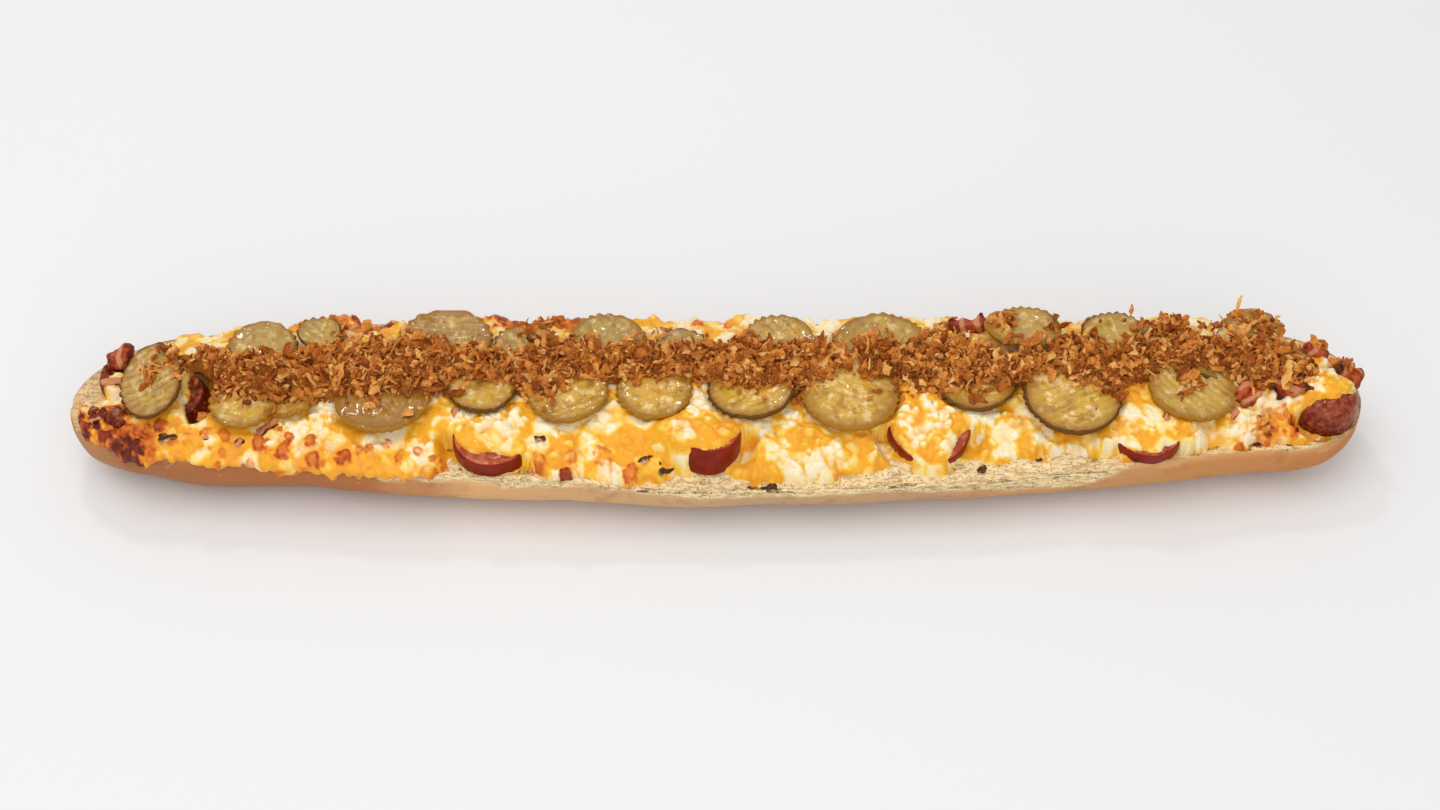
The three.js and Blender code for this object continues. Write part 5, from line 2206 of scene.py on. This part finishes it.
    def ribbon(
        self, dice: np.random.Generator, lengths: tuple[float, float], widths: tuple[float, float],
        thick: float, rows: int,
    ) -> Parts:
        """A curled, torn strip.

        Args:
            dice: the source of its unevenness.
            lengths: the least and the most that it is long, along its curl.
            widths: the least and the most that it is wide in the middle.
            thick: how thick it is.
            rows: how many sections it has.

        Returns:
            The strip round its middle.
        """
        length, width = dice.uniform(*lengths), dice.uniform(*widths)
        along = np.linspace(-1.0, 1.0, rows)
        turn = np.cumsum(dice.normal(0.0, 0.35, rows)) + along * dice.uniform(-1.0, 1.0)
        rise = np.cumsum(dice.normal(0.0, 0.3, rows)) + along * dice.uniform(-0.9, 0.9)
        twist = np.cumsum(dice.normal(0.0, 0.4, rows))
        step = length / (rows - 1)
        way = at(np.cos(turn) * np.cos(rise), np.sin(turn) * np.cos(rise), np.sin(rise))
        path = np.cumsum(way * step, axis=0)
        path -= path.mean(0)
        taper = np.sqrt(np.maximum(0.3, 1.0 - along**6)) * dice.uniform(0.7, 1.3, rows)
        angle = np.arange(4) * math.pi / 2
        sideways = at(-np.sin(turn), np.cos(turn))
        upward = np.cross(way, sideways)
        wide = np.cos(angle + 0.001)[None, :] * (width / 2 * taper)[:, None]
        deep = np.sin(angle)[None, :] * (thick / 2 * taper)[:, None]
        first = wide * np.cos(twist)[:, None] - deep * np.sin(twist)[:, None]
        second = wide * np.sin(twist)[:, None] + deep * np.cos(twist)[:, None]
        rings = path[:, None] + first[..., None] * sideways[:, None] + second[..., None] * upward[:, None]
        parts = Parts()
        parts.skin(rings)
        return parts

    def build(self, under: list[Object]) -> None:
        """Makes the core and strews the pieces over it and over what lies round it.

        Args:
            under: the pieces that the onion lies on.
        """
        dice = np.random.default_rng(self.seed)
        # The core's finish is dimmed to paint the shade in the gaps between the strewn pieces.
        deep = OnionFinish("fried_onion_deep", dim=0.7).material()
        crisp = OnionFinish("fried_onion").material()
        core = self.core()
        place_piece(core, deep, [self.node])
        ground = self.ground([*under, core])
        # Name, how many a square millimetre, sizes, how far sunk and lifted, tilt, seed; its kinds.
        strewings = (
            (Strewing("onion_crumbs", 0.11, 0.4, 1.15, 0.8, 1.6, 3.1, 5),
             [self.crumb(dice, 2) for _ in range(9)]),
            (Strewing("onion_grains", 0.2, 0.22, 0.6, 0.3, 1.8, 3.1, 8),
             [self.crumb(dice, 1) for _ in range(9)]),
            (Strewing("onion_flakes", 0.13, 0.45, 1.3, 0.4, 1.8, 0.9, 6),
             [self.ribbon(dice, (3.6, 8.4), (1.4, 3.3), 0.8, 7) for _ in range(12)]),
            (Strewing("onion_strands", 0.035, 0.6, 1.2, 0.2, 2.0, 0.4, 7),
             [self.ribbon(dice, (8.0, 13.5), (1.1, 3.2), 0.7, 9) for _ in range(8)]),
        )
        for strewing, shapes in strewings:
            kinds = self.kinds(strewing.name + "_kinds", shapes)
            place_piece(strewing.strew(ground, kinds, crisp), None, [self.node])
            for piece in list(kinds.objects):
                dispose(piece)
            bpy.data.collections.remove(kinds)
        dispose(ground)


# ---- The studio ----


@dataclass(frozen=True)
class Studio:
    """A pale floor, soft light from above, a smaller lamp behind for gloss, and the camera in front."""

    target: tuple[float, float, float] = (1.1, 7.80, 15.0)
    elevation: float = 51.0
    distance: float = 779.0
    lens: float = 50.0
    sensor: float = 36.0
    far: float = 50.0
    floor_size: float = 9.0
    floor_tone: float = 0.82
    sky: float = 0.64

    # Each lamp's name, place, size and power.
    lamps: tuple[tuple[str, tuple[float, float, float], float, float], ...] = (
        ("softbox_over", (-0.4, -0.1, 1.55), 1.2, 8.5),
        ("softbox_front", (0.3, -1.3, 1.1), 1.6, 7.0),
        ("lamp_behind", (-0.3, 0.8, 1.25), 0.12, 1.8),
    )

    def camera(self) -> None:
        """Adds the camera and makes it the scene's."""
        data = bpy.data.cameras.new("camera")
        data.lens, data.sensor_width, data.clip_end = self.lens, self.sensor, self.far
        camera = linked("camera", data)
        angle = math.radians(self.elevation)
        target = Vector(self.target) * MM
        back = Vector((0.0, -math.cos(angle), math.sin(angle)))
        camera.location = target + back * self.distance * MM
        camera.rotation_euler = (math.pi / 2 - angle, 0.0, 0.0)
        bpy.context.scene.camera = camera

    def light(self, name: str, place: tuple[float, float, float], size: float, power: float) -> None:
        """Adds a square soft light that faces the object.

        Args:
            name: its name.
            place: where it is, in metres.
            size: its side, in metres.
            power: its power, in watts.
        """
        data = bpy.data.lights.new(name, "AREA")
        data.shape, data.size, data.energy = "SQUARE", size, power
        lamp = linked(name, data)
        lamp.location = place
        way = Vector((0.0, 0.0, 0.02)) - Vector(place)
        lamp.rotation_euler = way.to_track_quat("-Z", "Y").to_euler()

    def floor(self) -> None:
        """Adds the floor."""
        corners = np.array([[-1, -1, 0], [1, -1, 0], [1, 1, 0], [-1, 1, 0]])
        parts = Parts()
        parts.add(corners * (self.floor_size / MM / 2), [[0, 1, 2, 3]])
        floor = parts.build("floor", smooth=False)
        shader = Shader("pale_floor")
        tone = self.floor_tone
        floor.data.materials.append(shader.principled((tone, tone, tone, 1.0), 0.85))

    def build(self) -> None:
        """Sets up the whole studio."""
        scene = bpy.context.scene
        scene.view_settings.view_transform = "Standard"
        world = bpy.data.worlds.new("studio")
        world.use_nodes = True
        sky = world.node_tree.nodes["Background"].inputs
        sky["Color"].default_value, sky["Strength"].default_value = (1.0, 1.0, 1.0, 1.0), self.sky
        scene.world = world
        self.camera()
        for lamp in self.lamps:
            self.light(*lamp)
        self.floor()


# ---- Everything ----


def main() -> None:
    logging.basicConfig(level=logging.INFO, format="%(name)s %(message)s")
    Studio().build()
    bread = Bread().build()
    gherkins, sausages = Gherkins(), Sausages()
    cheese = Cheese(gherkins, sausages)
    under = [cheese.build(), gherkins.build(), sausages.build(), Bacon().build()]
    Morsels().build([bread, under[0], under[2]])
    Onion(cheese).build(under)


if __name__ == "__main__":
    main()
